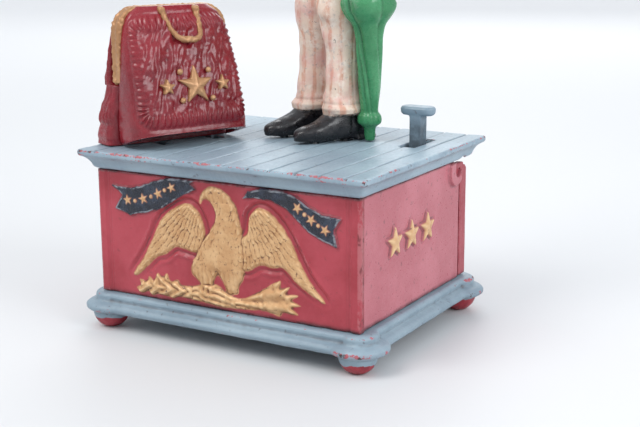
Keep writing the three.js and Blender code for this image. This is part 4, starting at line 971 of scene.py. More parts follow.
# outlines on the coat's front, as (x, height)
LAPEL = [(0.6, 118), (4.2, 126), (8.4, 135.5), (11.0, 137), (10.0, 140.5), (7.6, 148.6), (4.6, 147.5), (3.8, 136),
    (0.6, 122)]
BOW = [(0, 146.2), (5.4, 143.6), (5.8, 149.2), (0, 147.6), (-5.8, 149.2), (-5.4, 143.6)]
SHIRT = [(0, 117), (4.6, 134), (5.2, 149), (0, 150), (-5.2, 149), (-4.6, 134)]
VEST_OPENING = [(0, 101), (5.0, 106), (4.4, 122), (6.0, 138), (-6.0, 138), (-4.4, 122), (-5.0, 106)]


# the arm turns on a pivot at the right shoulder, where the coat and the arm's hub are flat and face each other
SHOULDER_FACE, HUB_FACE = -17.7, -18.3
SHOULDER_AT = (2, 138)  # y and height of the pivot
ARM_RAISED = -8  # degrees about the pivot from level to the place at rest
SEAM_Y = 2  # where the figure's two castings meet
FOOTING = 0.3  # the lowest part of the figure above the lid


def gentleman(material):
    """The body with its legs, shoes, coat and left arm. Returns its points in the figure's frame."""
    mesh, tag = fused("gentleman_body", body_parts(), 0.48, 2)
    p = points_of(mesh)
    n = normals_of(mesh)
    x, y, h = p.T
    push = np.zeros(len(p))
    front = step(-n[:, 1], 0.1, 0.5) * (y < 0)
    # coat front: lapels, waistcoat, shirt, buttons and the line where the coat closes
    chest = (tag == COAT) | (tag == LINEN)
    vest = edge_distance(x, h, VEST_OPENING)
    shirt = edge_distance(x, h, SHIRT)
    lapel = np.maximum(edge_distance(x, h, LAPEL), edge_distance(-x, h, LAPEL))
    on = front * chest * (h < 150)
    push += on * 0.85 * step(lapel, -0.3, 0.5)
    push -= on * 0.55 * step(vest, -0.2, 0.6) * (lapel < 0)
    push += on * 0.9 * step(1.25 - np.min([np.hypot(x - 0.1, h - b) for b in (108, 113, 118.4)], axis=0), 0, 0.5)
    push += on * step(1.2 - np.min([np.hypot(np.abs(x) - 8.6, h - b) for b in (106, 114, 122)], axis=0), 0, 0.5)
    bow = edge_distance(x, h, BOW)
    push += on * 0.9 * step(bow, -0.3, 0.5)
    tag[(on > 0.3) & (vest > 0) & (lapel < 0)] = VEST
    tag[(on > 0.3) & (shirt > 0) & (lapel < 0)] = LINEN
    tag[(on > 0.3) & (bow > 0)] = BAND
    # hem of the coat's front
    cutaway = (tag == COAT) & (y < 3)
    push -= cutaway * 0.5 * np.exp(-(((h - 88.5 - 0.15 * np.abs(x)) / 0.5) ** 2))
    # cloth folds: diagonal at knees and hems, vertical on the tails
    legs = tag == TROUSER
    side = np.where(x > 0, 1.0, -1.0)
    bend = h + 2.6 * np.sin(np.arctan2(y, np.abs(x) - 8.8) + side)
    fold = smooth_noise(np.column_stack([x * 0.4, y * 0.5, bend]), 5.0, 31)
    near_bend = hump(h, 52, 12) + 0.9 * hump(h, 17, 9) + 0.35
    push += legs * 0.62 * fold * near_bend
    push += legs * 0.45 * hump(h, 13.2, 0.8) - legs * 0.35 * hump(h, 15.4, 0.5)
    crease = hump(np.abs(x), 9.0, 0.7) * (y < -3) * (h > 18)
    push += legs * 0.3 * crease
    tails = (tag == COAT) & (h < 100) & (y > 8)
    push += tails * 0.35 * np.sin(x * 1.1)
    push -= tails * 0.8 * hump(x, 0, 0.6)
    arms = (tag == COAT) & (x > 19)
    push += arms * 0.5 * smooth_noise(np.column_stack([x * 0.5, y * 0.5, h + 0.8 * y]), 3.6, 33)
    # shoes: welt, counter seam and worn leather
    shoes = tag == SHOE
    push -= shoes * 0.22 * hump(h, 2.2, 0.4)
    push += shoes * 0.24 * smooth_noise(p, 2.8, 35)
    push += 0.06 * smooth_noise(p, 1.3, 37) + 0.10 * smooth_noise(p, 4.5, 39)
    # line where the two castings of the figure meet
    push -= 0.30 * hump(y, SEAM_Y, 0.34) * (tag != SKIN)
    p = p + n * push[:, None]
    p[:, 2] = np.maximum(p[:, 2], FOOTING)
    shoulder = (p[:, 0] < SHOULDER_FACE) & (p[:, 2] > 129) & (p[:, 2] < 147)
    p[shoulder, 0] = SHOULDER_FACE
    stripe_axis = np.where(p[:, 0] > 0, np.arctan2(p[:, 1], p[:, 0] - 8.8), np.arctan2(p[:, 1], -(p[:, 0] + 8.8)))
    value_layer(mesh, "around", stripe_axis)
    enamelled("gentleman_body", mesh, tag, p, "bank", material, replaced=["figure_front", "figure_back"])
    return p


RIVETS = ((-8, 91), (9.4, 110))


def rivet_heads(material, skin):
    """Low painted domes where the two rivets that hold the figure's halves come through."""
    domes = []
    for x, h in RIVETS:
        near = skin[np.hypot(skin[:, 0] - x, skin[:, 2] - h) < 1.0]
        for y, way in ((near[:, 1].min(), -1), (near[:, 1].max(), 1)):
            domes.append(ball((x, y - way * 0.5, h), (1.7, 1.15, 1.7), 24, 14))
    points, faces = gathered(domes)
    name = "figure_rivet_heads"
    tag = np.full(len(points), COAT)
    enamelled(name, make_mesh(name, points, faces), tag, points, "bank", material,
        replaced=["figure_rivet_1", "figure_rivet_2"])


PALETTE = {
    TROUSER: rgb(226, 204, 186), SHOE: rgb(24, 23, 27), COAT: rgb(52, 52, 72), SKIN: rgb(222, 170, 142),
    HAIR: rgb(196, 192, 186),
    LINEN: rgb(226, 224, 216), VEST: rgb(150, 48, 56), HAT: rgb(34, 34, 42), BAND: rgb(126, 40, 48),
}
GLOSS = {TROUSER: 0.0, SHOE: 1.0, COAT: 0.35, SKIN: 0.25, HAIR: 0.1, LINEN: 0.2, VEST: 0.3, HAT: 0.6, BAND: 0.5}


def enamelled(name, mesh, tag, p, body, material, replaced=()):
    """A piece of the figure at points p of the figure's frame, with the colour, gloss and stripes of its tags."""
    set_points(mesh, on_figure(p))
    colours = np.array([PALETTE[i] for i in range(9)])[tag]
    gloss = np.array([GLOSS[i] for i in range(9)])[tag]
    data = np.column_stack([colours[:, :3], gloss, (tag == TROUSER).astype(float)])
    total, count = neighbours(mesh)
    data = (data + total(data)) / (count + 1)
    colour_layer(mesh, "paint", np.column_stack([data[:, :3], np.ones(len(data))]))
    value_layer(mesh, "gloss", data[:, 3])
    value_layer(mesh, "stripes", data[:, 4])
    return settle(name, mesh, body, material, replaced)


def head_parts():
    parts = [
        (*ball((0, 0.6, 172), (9.4, 10.8, 11.8), 48, 28), SKIN),
        (*ball((0, -2.4, 168.6), (7.9, 8.0, 7.6), 40, 22), SKIN),
        (*tube([(0, 2.8, 151.4), (0, 2.6, 158), (0, 2.2, 165)], (5.0, 4.9, 5.6), 14, 28), SKIN),
    ]
    # brow, nose and cheeks
    for s in (-1, 1):
        parts.append((*tube([(s * 1.6, -9.7, 173.3), (s * 4.0, -9.5, 174.2), (s * 6.6, -7.4, 173.2)], (0.7, 0.9, 0.6),
            14, 12), HAIR))
        parts.append((*ball((s * 4.7, -6.4, 167.6), (3.5, 2.9, 3.0), 24, 14), SKIN))
        parts.append((*ball((s * 1.3, -10.9, 166.9), (1.0, 1.35, 0.95), 16, 10), SKIN))
        # eyelids
        for rise, r in ((0.75, 0.62), (-0.75, 0.52)):
            arc = [(s * 3.84 + 1.95 * math.cos(a), -9.15 + 0.5 * (math.cos(a)) ** 2, 170.4 + rise * math.sin(a) * 1.35)
                   for a in np.radians((0, 30, 60, 90, 120, 150, 180))]
            parts.append((*tube(arc, [r * 0.7] + [r] * 5 + [r * 0.7], 16, 12), SKIN))
        # ears
        parts.append((*ball((s * 9.4, 1.6, 170.2), (1.1, 2.2, 3.3), 20, 12), SKIN))
        parts.append((*tube([(s * 9.9, 0.2, 167.4), (s * 10.4, 1.6, 166.9), (s * 10.7, 3.5, 169.6),
            (s * 10.6, 3.4, 172.2), (s * 10.2, 1.0, 173.2), (s * 9.8, -0.2, 171.6)],
                            (0.5, 0.6, 0.62, 0.62, 0.55, 0.4), 20, 10), SKIN))
        # side whiskers and moustache
        parts.append((*tube([(s * 8.6, -2.2, 173.6), (s * 8.8, -2.6, 169.5), (s * 8.4, -3.6, 165.2)], (1.3, 1.5, 1.4),
            18, 14), HAIR))
        parts.append((*tube([(s * 0.4, -11.2, 165.3), (s * 2.6, -10.9, 165.0), (s * 5.0, -9.4, 164.2),
            (s * 6.4, -7.8, 163.9)],
                            (1.1, 1.35, 1.0, 0.5), 18, 14), HAIR))
    parts.append((*tube([(0, -9.9, 172.6), (0, -11.2, 170), (0, -12.2, 167.6), (0, -11.9, 166.7)],
        (0.95, 1.1, 1.45, 1.1), 16, 16), SKIN))
    # hair at the back and sides, close to the head
    parts.append((*ball((0, 3.2, 170.6), (9.7, 9.4, 9.6), 44, 24), HAIR))
    return parts


def head(material):
    mesh, tag = fused("gentleman_head", head_parts(), 0.3, 2)
    p = points_of(mesh)
    n = normals_of(mesh)
    x, y, h = p.T
    push = np.zeros(len(p))
    for s in (-1, 1):
        socket = np.hypot((x - s * 3.84) / 2.1, (h - 170.4) / 1.25)
        push -= 0.95 * step(1.15 - socket, 0, 0.6) * (y < -5) * (tag == SKIN)
        push -= 0.4 * np.exp(-(((x - s * 1.25) / 0.5) ** 2 + ((h - 166.15) / 0.4) ** 2)) * (y < -10.4)
        push -= 0.55 * np.exp(-((np.hypot(y - 1.6, (h - 170.2) * 0.8) / 1.3) ** 2)) * (np.abs(x) > 9.4)
    push += 0.28 * np.sin(np.arctan2(x, -y) * 34 + 0.35 * h) * (tag == HAIR) * (np.abs(x) > 6.5)
    push += 0.13 * np.sin(h * 7.5 + np.abs(x) * 2.2) * (tag == HAIR) * (np.abs(x) <= 6.5)
    push += 0.05 * smooth_noise(p, 1.6, 41)
    p = p + n * push[:, None]
    enamelled("gentleman_head", mesh, tag, p, "bank", material)


def eyes(material):
    parts = [ball((s * 3.84, -8.25, 170.4), (1.75, 1.35, 1.45), 32, 20) for s in (-1, 1)]
    mesh = make_mesh("gentleman_eyes", *gathered(parts))
    p = points_of(mesh)
    d = np.min([np.hypot(p[:, 0] - s * 3.84, p[:, 2] - 170.35) for s in (-1, 1)], axis=0)
    d = np.where(p[:, 1] < -8.6, d, 3.0)
    value_layer(mesh, "iris", d)
    set_points(mesh, on_figure(p))
    settle("gentleman_eyes", mesh, "bank", material)


def hat(material):
    """A turned top hat, its brim curled up at the sides, with a band."""
    profile = [
        (0, 176.2), (9.8, 176.2), (13.6, 175.6), (15.4, 175.5), (16.3, 175.9), (16.55, 176.6), (16.3, 177.3),
        (15.2, 177.6),
        (12.8, 177.3), (11.9, 177.5), (11.55, 178.2), (11.75, 178.6), (11.75, 183.2), (11.45, 183.6), (11.4, 183.9),
        (11.38, 184.3), (11.1, 190), (11.1, 197),
        (11.5, 204), (12.2, 210.4), (12.3, 211.8), (11.9, 212.9), (10.8, 213.3), (10.2, 213.1), (6, 213.2), (0, 213.3),
    ]
    points, faces = lathe(profile, sides=88, oval=(1, 1.1))
    radius = np.hypot(points[:, 0], points[:, 1] / 1.1)
    curl = step(radius, 11.8, 16.6)
    points[:, 2] += curl * (points[:, 2] < 178.4) * (1.5 * (points[:, 0] / 16.5) ** 2 - 0.7 * (points[:, 1] / 18) ** 2)
    points[:, :2] *= (1 + 0.004 * smooth_noise(points, 5, 51))[:, None]
    mesh = baked("gentleman_hat", make_mesh("gentleman_hat", points, faces), "SUBSURF", levels=1, render_levels=1)
    p = points_of(mesh)
    tag = np.where((p[:, 2] > 178.3) & (p[:, 2] < 183.5) & (np.hypot(p[:, 0], p[:, 1] / 1.1) > 11.3), BAND, HAT)
    enamelled("gentleman_hat", mesh, tag, p, "bank", material)


def beard(material):
    rows = [(0, -9.6, 2.6, 1.8, 152.2), (0, -9.5, 4.6, 2.9, 153.6), (0, -9.3, 6.4, 3.8, 156.4),
        (0, -8.9, 7.6, 4.2, 159.6), (0, -8.7, 7.5, 4.1, 162), (0, -8.7, 6.6, 3.4, 163.2)]
    parts = [(*tower(rows, 26, 40, 2.1), HAIR)]
    lip = [(-3.0, -10.6, 162.6), (-1.4, -12.2, 162.9), (0, -12.6, 162.9), (1.4, -12.2, 162.9), (3.0, -10.6, 162.6)]
    parts.append((*tube(lip, (0.5, 0.8, 0.9, 0.8, 0.5), 16, 14), SKIN))
    for s in (-1, 1):
        parts.append((*tube([(s * 5.6, -8.2, 161.6), (s * 7.6, -6.0, 162.6), (s * 8.2, -4.6, 163.0)], (2.0, 1.7, 1.0),
            12, 16), HAIR))
    mesh, tag = fused("beard", parts, 0.3, 2)
    p = points_of(mesh)
    n = normals_of(mesh)
    lock = np.sin(np.arctan2(p[:, 0], -(p[:, 1] + 2)) * 22 + 1.2 * np.sin(p[:, 2] * 0.7)) + 0.5 * smooth_noise(p,
        1.6, 61)
    p = p + n * (0.32 * lock * (tag == HAIR))[:, None]
    enamelled("beard", mesh, tag, p, "jaw", material, replaced=["beard_jaw"])


def right_arm(material):
    """Modelled level at the shoulder, then raised to its place at rest."""
    parts = [
        (*tube([(-18.6, 0, 0), (-25.4, 0, 0)], (6.8, 6.7), 8, 36), COAT),
        (*tube([(-23.6, 1.4, 0.6), (-24.6, -6, -1.6), (-26.4, -18, -4.4), (-27.8, -34, -7.4), (-28.2, -41, -8),
            (-28.9, -50, -6.4), (-29.7, -60, -4.2)],
               (6.4, 6.2, 5.7, 5.6, 5.6, 5.2, 5.0), 50, 28), COAT),
        (*tube([(-29.7, -59.6, -4.2), (-30.0, -63.6, -3.2)], (4.7, 4.7), 6, 28), LINEN),
        (*tube([(-30.0, -63, -3.3), (-30.3, -67.4, -2.4), (-30.6, -71, -1.6)], (3.5, 3.3, 3.9), 14, 20, 0.8), SKIN),
        (*ball((-30.8, -75, -1.3), (5.0, 5.8, 2.0), 32, 16), SKIN),
    ]
    for dx, length in ((-3.7, 7.2), (-1.35, 8.9), (1.0, 8.6), (3.2, 7.0)):
        x = -30.8 + dx
        parts.append((*tube([(x, -77.6, -1.5), (x + dx * 0.07, -79.8, -1.3),
            (x + dx * 0.09, -78.4 - length * 0.72, -0.5), (x + dx * 0.08, -78.6 - length, 0.6)],
                            (1.35, 1.3, 1.2, 1.0), 18, 14), SKIN))
    parts.append((*tube([(-26.9, -71.6, -1.0), (-25.7, -74.2, 0.0), (-25.6, -76.6, 1.2)], (1.6, 1.4, 1.15), 14, 14),
        SKIN))
    mesh, tag = fused("gentleman_right_arm", parts, 0.42, 2)
    p = points_of(mesh)
    n = normals_of(mesh)
    x, y, h = p.T
    push = 0.05 * smooth_noise(p, 1.4, 71)
    sleeve = (tag == COAT) & (y < -3)
    push += sleeve * 0.55 * smooth_noise(np.column_stack([x * 0.5, y + 0.7 * h, h * 0.6]), 4.2,
        73) * (0.5 + hump(y, -40, 9))
    push -= (tag == SKIN) * 0.9 * np.exp(-(((x + 30.8) / 3.4) ** 2 + ((y + 75.6) / 4.2) ** 2)) * (n[:, 2] > 0.3)
    p = p + n * push[:, None]
    hub = (p[:, 0] > HUB_FACE) & (p[:, 1] > -10)
    p[hub, 0] = HUB_FACE
    c, s = math.cos(math.radians(ARM_RAISED)), math.sin(math.radians(ARM_RAISED))
    x, y, h = p.T
    p = np.column_stack([x, y * c - h * s + SHOULDER_AT[0], y * s + h * c + SHOULDER_AT[1]])
    enamelled("gentleman_right_arm", mesh, tag, p, "right_arm", material, replaced=["right_arm"])


def umbrella(material):
    """A rolled umbrella, point down: eight soft flutes that turn a little as they rise and stand open near the top."""
    rows = np.array([
        # height, radius, flute depth, twist
        (0.45, 1.2, 0, 0), (0.8, 1.9, 0, 0), (2.6, 2.2, 0, 0), (5.4, 2.35, 0, 0), (6.6, 3.2, 0.03, 0),
        (7.6, 4.5, 0.05, 0), (9, 4.9, 0.05, 0.05),
        (10.8, 4.6, 0.05, 0.05), (12.2, 3.7, 0.06, 0.1), (14, 3.7, 0.10, 0.15), (20, 4.2, 0.15, 0.3),
        (28, 4.8, 0.17, 0.5), (36, 5.2, 0.17, 0.75),
        (42, 5.5, 0.17, 0.9), (47, 6.6, 0.15, 1.0), (50, 8.8, 0.14, 1.05), (53, 10.4, 0.14, 1.1),
        (56.6, 10.9, 0.15, 1.12), (58.6, 10.2, 0.16, 1.15), (62, 8.4, 0.18, 1.2),
        (67, 6.9, 0.2, 1.3), (72, 4.8, 0.2, 1.4), (76, 3.2, 0.15, 1.45), (79, 2.0, 0.05, 1.5), (80.5, 1.5, 0, 1.5),
        (92, 1.45, 0, 1.5), (100, 1.45, 0, 1.5),
        (101.6, 1.3, 0, 1.5), (102.4, 0.8, 0, 1.5),
    ])
    sides = 96
    t = np.linspace(0, 2 * math.pi, sides, endpoint=False)
    rings = []
    for h, r, flute, twist in spline(rows, 190):
        swirl = t + twist
        uneven = swirl + 0.35 * np.sin(swirl * 2 + 0.7) + 0.2 * np.sin(swirl * 3 + 2.1)
        lip = 1 + 0.95 * flute * (np.abs(np.sin(uneven * 3)) ** 0.8 * 1.5 - 0.95) + 0.45 * flute * np.sin(swirl * 2 + 1)
        wave = 1.1 * hump(h, 57.5, 4) * np.sin(uneven * 6 + 0.6)
        radius = np.maximum(r, 0.2) * lip
        rings.append(np.column_stack([radius * np.cos(t), radius * np.sin(t), np.full(sides, max(h, 0.4)) + wave]))
    points, faces = loft(rings)
    points[:, :2] *= (1 + 0.02 * smooth_noise(points, 2.5, 81) + 0.03 * smooth_noise(points, 7, 82))[:, None]
    cloth = step(points[:, 2], 6.2, 6.8) * step(-points[:, 2], -80.4, -79.6)
    height = points[:, 2].copy()
    across, along = umbrella_axis(height)
    points[:, 0] += across
    points[:, 1] += along
    points[:, 2] = np.maximum(points[:, 2], 0.4)
    mesh = make_mesh("umbrella_rolled", on_figure(points), faces)
    value_layer(mesh, "cloth", cloth)
    value_layer(mesh, "up", height)
    return settle("umbrella_rolled", mesh, "bank", material, ["umbrella"])


# ---------------------------------------------------------------- the satchel
BAG_L = 51.0
FRONT_ROWS = [  # height, left, right, depth, squareness
    (0.4, 0.4, BAG_L - 0.4, 16.6, 5), (2.4, -0.6, BAG_L + 0.6, 17.8, 5), (8, -1, BAG_L + 1, 18, 5),
    (14, -0.8, BAG_L + 0.8, 17.4, 4.4),
    (20, -0.4, BAG_L + 0.6, 16.4, 4), (32, 0.2, BAG_L - 0.6, 13.5, 3.6), (44, 1.2, BAG_L - 2.4, 9.6, 3.2),
    (51, 3.6, BAG_L - 5.4, 6.6, 3), (54.6, 8, BAG_L - 10, 4.2, 2.6),
]
BACK_ROWS = [  # height, left, right, near face, far face, squareness
    (0.35, -4.2, BAG_L + 0.6, 1.7, 15.8, 6), (4, -4.8, BAG_L + 1, 1.7, 16.2, 6), (12, -4, BAG_L + 0.8, 1.7, 15.3, 5),
    (22, -2.6, BAG_L, 1.7, 13.9, 4.5),
    (24.0, -2.4, BAG_L, 1.9, 13.6, 4.5), (24.9, -2.2, BAG_L, 6.9, 13.5, 4.5), (38, -0.4, BAG_L - 1.4, 7, 11.3, 4),
    (48, 2.4, BAG_L - 4, 7, 9.9, 3.6), (53.8, 8, BAG_L - 9, 7.1, 9.3, 3),
]


BAG_REAR = 0.9  # y of the front half's open side


def evenly(path, count, endpoint=True):
    """Points at an even spacing along a flat path, how far along each one is, and the path's length."""
    run = np.concatenate([[0], np.cumsum(np.linalg.norm(np.diff(path, axis=0), axis=1))])
    even = np.linspace(0, run[-1], count, endpoint=endpoint)
    return np.column_stack([np.interp(even, run, path[:, 0]), np.interp(even, run, path[:, 1])]), even, run[-1]


def to_the_right(tangent):
    """Unit vectors square to flat tangents, on their right hand."""
    unit = tangent / np.linalg.norm(tangent, axis=1)[:, None]
    return np.column_stack([unit[:, 1], -unit[:, 0]])


def half_section(left, right, depth, power, count):
    """From the left rear corner round the front to the right rear corner, as evenly() gives it."""
    a = np.linspace(math.pi, 2 * math.pi, count)
    centre, half = (left + right) / 2, (right - left) / 2
    c, s = np.cos(a), np.sin(a)
    x = centre + half * np.sign(c) * np.abs(c) ** (2 / power)
    y = BAG_REAR - depth * np.abs(s) ** (2 / power)
    return evenly(np.column_stack([x, y]), count)


def plush(run, z, total, seed, corner=0.0):
    """Outward swell of the gathered bag: short pleats along its sides, hanging folds between them, a rolled foot
    and a plain border under the mouth frame."""
    side = np.minimum(run, total - run) - corner
    rise = np.minimum(z - 9.2, 50.4 - z)
    p = np.stack([run, z, 0 * run], -1)
    # distance in from the ring's outline, and travel along it, with rounded corners
    r = 7.0
    a, b = r - side, r - rise
    turn = (a > 0) & (b > 0)
    inward = np.where(turn, r - np.hypot(a, b), np.minimum(side, rise))
    travel = np.where(turn, r * np.arctan2(b, np.maximum(a, 1e-6)), np.where(side < rise, b, r * math.pi / 2 - a))
    wander = 1.0 * smooth_noise(p, 5, seed)
    pleat = np.sin((travel + wander) * 2 * math.pi / 2.4)
    fold = np.sin((run + 1.6 * wander) * 2 * math.pi / 2.7)
    inside = step(inward, -1.4, 0.8)
    ring_band = inside * (1 - step(inward, 3.2, 5.6))
    middle = step(inward, 3.2, 6.2)
    lumps = smooth_noise(p * (1, 0.6, 1), 3.2, seed + 1) + 0.6 * smooth_noise(p, 1.8, seed + 2)
    swell = 0.5 * pleat * ring_band * (0.85 + 0.3 * smooth_noise(p, 5, seed + 3)) + (0.13 * fold + 0.6 * lumps
        - 0.25) * middle + 0.10 * lumps
    swell = swell + 0.7 * hump(inward, 2.6, 2.6) * inside
    # a shadow line outside the ring, and a rolled foot below it
    swell = swell - 0.45 * hump(inward, -1.2, 0.9) + 0.45 * hump(z, 3.2, 2.4)
    return swell


def bag_front(material):
    """The half that tips forward: a gathered cloth wall, open at the rear, that closes under the mouth frame."""
    count, inner_count, levels = 210, 60, 130
    rings = []
    for z, left, right, depth, power in spline(FRONT_ROWS, levels):
        outer, run, total = half_section(left, right, depth, power, count)
        normal = to_the_right(np.gradient(outer, axis=0))
        fade = step(np.minimum(run, total - run), 0.4, 3.0) * step(z, 0.2, 2.0) * (1 - step(z, 52.5, 54.4))
        swell = plush(run, np.full(count, z), total, 91, max(depth - 4.6, 0.3))
        outer = outer + normal * (swell * fade * 0.9 - 0.55)[:, None]
        roof = step(z, 46, 50.5)
        wall = 2.6
        hollow = max(depth - wall, 1) * (1 - roof) + 0.25 * roof
        inner, _, _ = half_section(left + wall, right - wall, hollow, power, inner_count)
        section = np.vstack([outer, inner[::-1]])
        # the foot is cut back so that the bag can tip forward on its hinge
        lift = np.maximum(z, 0.6 + 0.32 * np.maximum(-section[:, 1], 0))
        rings.append(np.column_stack([section, lift]))
    rings = np.array(rings)
    for j in range(rings.shape[1]):
        rings[:, j, 2] = np.maximum.accumulate(rings[:, j, 2] + np.arange(levels) * 1e-4)
    points, faces = loft(rings)
    n = count + inner_count
    faces = faces[:-2]
    for base, flip in ((0, False), ((levels - 1) * n, True)):
        # stitch the outer line to the inner line across the wall
        for i in range(count - 1):
            a, b = base + i, base + i + 1
            fa = base + n - 1 - round(i * (inner_count - 1) / (count - 1))
            fb = base + n - 1 - round((i + 1) * (inner_count - 1) / (count - 1))
            face = (a, b, fb) if fa == fb else (a, b, fb, fa)
            faces.append(face if flip else tuple(reversed(face)))
    mesh = make_mesh("satchel_front_cloth", on_satchel(points), faces)
    settle("satchel_front_cloth", mesh, "satchel_front", material, ["satchel_front"])


def bag_back(material):
    """The half that stays on the lid, solid, with its gathered side to the rear."""
    count, levels = 300, 110
    rings = []
    for z, left, right, near, far, power in spline(BACK_ROWS, levels):
        centre, half, mid, deep = (left + right) / 2, (right - left) / 2, (near + far) / 2, (far - near) / 2
        r = ring(half, deep, count * 2, power)
        section, run, total = evenly(np.vstack([r, r[:1]]), count, endpoint=False)
        section += (centre, mid)
        normal = to_the_right(np.roll(section, -1, 0) - np.roll(section, 1, 0))
        side = step(section[:, 1], near + 0.5, near + 2.4)
        swell = plush(run, np.full(count, z), total, 191) * 0.8 - 1.0
        section = section + normal * (swell * side * step(z, 0.2, 2.5))[:, None]
        rings.append(np.column_stack([section, np.full(count, z)]))
    points, faces = loft(rings)
    mesh = make_mesh("satchel_back_cloth", on_satchel(points), faces)
    settle("satchel_back_cloth", mesh, "bank", material, ["satchel_back"])


def swept(path, section):
    """A section of [outward, y] points swept along a path of [x, z]."""
    path = np.asarray(path, float)
    out = -to_the_right(np.gradient(path, axis=0))
    rings = [np.array([[p[0] + o[0] * a, b, p[1] + o[1] * a] for a, b in section]) for p, o in zip(path, out)]
    return loft(rings)


def bag_frame(material):
    """The gilt mouth frame, its carrying handle, the ornament on the face and their studs."""
    left, right, top, r, foot = 1.3, BAG_L - 2.7, 53.4, 8.2, 25.2
    quarter = lambda start: np.radians(np.linspace(start, start - 90, 14))
    arc = lambda cx, start: [(cx + r * math.cos(a), top - r + r * math.sin(a)) for a in quarter(start)]
    path = [(left, z) for z in np.linspace(foot, top - r, 22)][:-1] + arc(left + r, 180)
    path += [(x, top) for x in np.linspace(left + r, right - r, 24)][1:-1] + arc(right - r, 90)
    path += [(right, z) for z in np.linspace(top - r, foot, 22)][1:]
    section = [(-1.25, 0.1), (-0.9, 6.3), (0.5, 6.4), (1.15, 5.9), (1.35, 5.0), (0.95, 4.2), (0.8, 3.2), (0.95, 2.3),
        (1.35, 1.5), (1.1, 0.4), (0.4, 0.1)]
    parts = [(*swept(path, section), 0)]
    handle = [(17.4, -4.2, 52.4), (18.6, -6.6, 48), (20.0, -8.6, 44.6), (21.6, -10.5, 42.4), (25.2, -11.2, 41.7),
        (29.2, -11.0, 41.8), (31.6, -9.4, 43.6), (32.4, -6.8, 47.8), (32.8, -4.2, 52.4)]
    parts.append((*tube(handle, (1.35, 1.1, 1.05, 1.1, 1.3, 1.15, 1.05, 1.1, 1.35), 60, 18), 0))
    for x in (17.4, 32.8):
        parts.append((*tube([(x, -4.6, 53.0), (x, 0.6, 53.2)], (1.5, 1.7), 6, 18), 0))
    parts.append((*ball((left, 4.0, foot + 0.6), (1.7, 1.4, 1.7), 18, 12), 0))
    frame_mesh, _ = fused("satchel_gilt", parts, 0.36, 1)
    p = points_of(frame_mesh)
    n = normals_of(frame_mesh)
    p = p + n * (0.26 * smooth_noise(p, 0.95, 95) + 0.10 * smooth_noise(p, 4, 96))[:, None]
    set_points(frame_mesh, on_satchel(p))
    settle("satchel_gilt", frame_mesh, "satchel_front", material)
    heights, _, _, depths, _ = zip(*FRONT_ROWS)
    slope = lambda z: BAG_REAR - np.interp(z, heights, depths)
    stars = [(26, 24, 8.0, 3.3), (13.6, 24, 3.4, 1.5), (38.4, 24, 3.4, 1.5)]
    studs = [(19.2, 18.6), (32.8, 18.6), (19.6, 29.6), (32.4, 29.6)]
    ornaments = []
    for a, b, big, small in stars:
        outline = star_points(a, b, big, small)
        count = len(outline)
        rise = 1.35 if big > 5 else 1.0
        dense = np.vstack([np.linspace(outline[i], outline[(i + 1) % count], 9)[:-1] for i in range(count)])
        levels = [(1.0, -2.2), (1.0, 0.35), (0.93, 0.75), (0.6, rise), (0.28, rise * 1.25), (0.04, rise * 1.45)]
        rings = []
        for k, lift in levels:
            q = (dense - (a, b)) * k + (a, b)
            rings.append(np.column_stack([q[:, 0], slope(q[:, 1]) - lift, q[:, 1]]))
        ornaments.append((*loft(rings), 0))
    for a, b in studs:
        ornaments.append((*ball((a, slope(b) - 0.3, b), (1.25, 1.1, 1.25), 20, 12), 0))
    name = "satchel_ornament"
    ornament = remeshed(name, make_mesh(name, *gathered(ornaments)), 0.3)
    set_points(ornament, smoothed(ornament, 2, 0.5))
    p = points_of(ornament)
    p = p + normals_of(ornament) * (0.10 * smooth_noise(p, 1.2, 97))[:, None]
    set_points(ornament, on_satchel(p))
    settle("satchel_ornament", ornament, "satchel_front", material)


def spring_coil(material):
    """The lever's return spring, as a fixed coil of wire."""
    low, high = (np.array(corner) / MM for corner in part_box("return_spring"))
    wire, turns = 0.6, 7
    centre, reach = (low + high) / 2, (high[0] - low[0]) / 2 - wire
    t = np.linspace(0, 1, turns * 14 + 1)
    a = 2 * math.pi * turns * t
    rise = low[2] + wire + (high[2] - low[2] - 2 * wire) * t
    path = np.column_stack([centre[0] + reach * np.cos(a), centre[1] + reach * np.sin(a), rise])
    points, faces = tube(path, np.full(len(path), wire), turns * 30, 14)
    points[:, 2] = np.clip(points[:, 2], low[2], high[2])
    mesh = make_mesh("return_spring_coil", points, faces)
    piece = settle("return_spring_coil", mesh, "bank", material, ["return_spring"])
    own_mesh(piece)


# ---------------------------------------------------------------- materials
BLUE_GREY, BLUE_PALE = rgb(131, 150, 164), rgb(148, 168, 180)
RED = rgb(150, 43, 54)


def gilded(g, tone, gilt):
    """Dull gold enamel, dark in its hollows and rubbed bright on its ridges, where the mask is 1."""
    bend = g.attribute("bend")
    gold = g.mix(g.ramp(g.noise(160, 5, 0.65), 0.35, 0.7), rgb(190, 144, 98), rgb(212, 172, 126))
    gold = g.mix(g.ramp(bend, -0.03, -0.22, 0, 0.8), gold, rgb(104, 62, 40))
    gold = g.mix(g.ramp(bend, 0.04, 0.22, 0, 0.6), gold, rgb(226, 192, 146))
    gold = g.mix(g.ramp(g.noise(480, 3, 0.6), 0.63, 0.70, 0, 0.8), gold, rgb(86, 54, 48))
    return g.mix(gilt, tone, gold)


GRIME_AND_SHADE_REACH = 0.0022  # metres up from the lower edge and down from the upper one


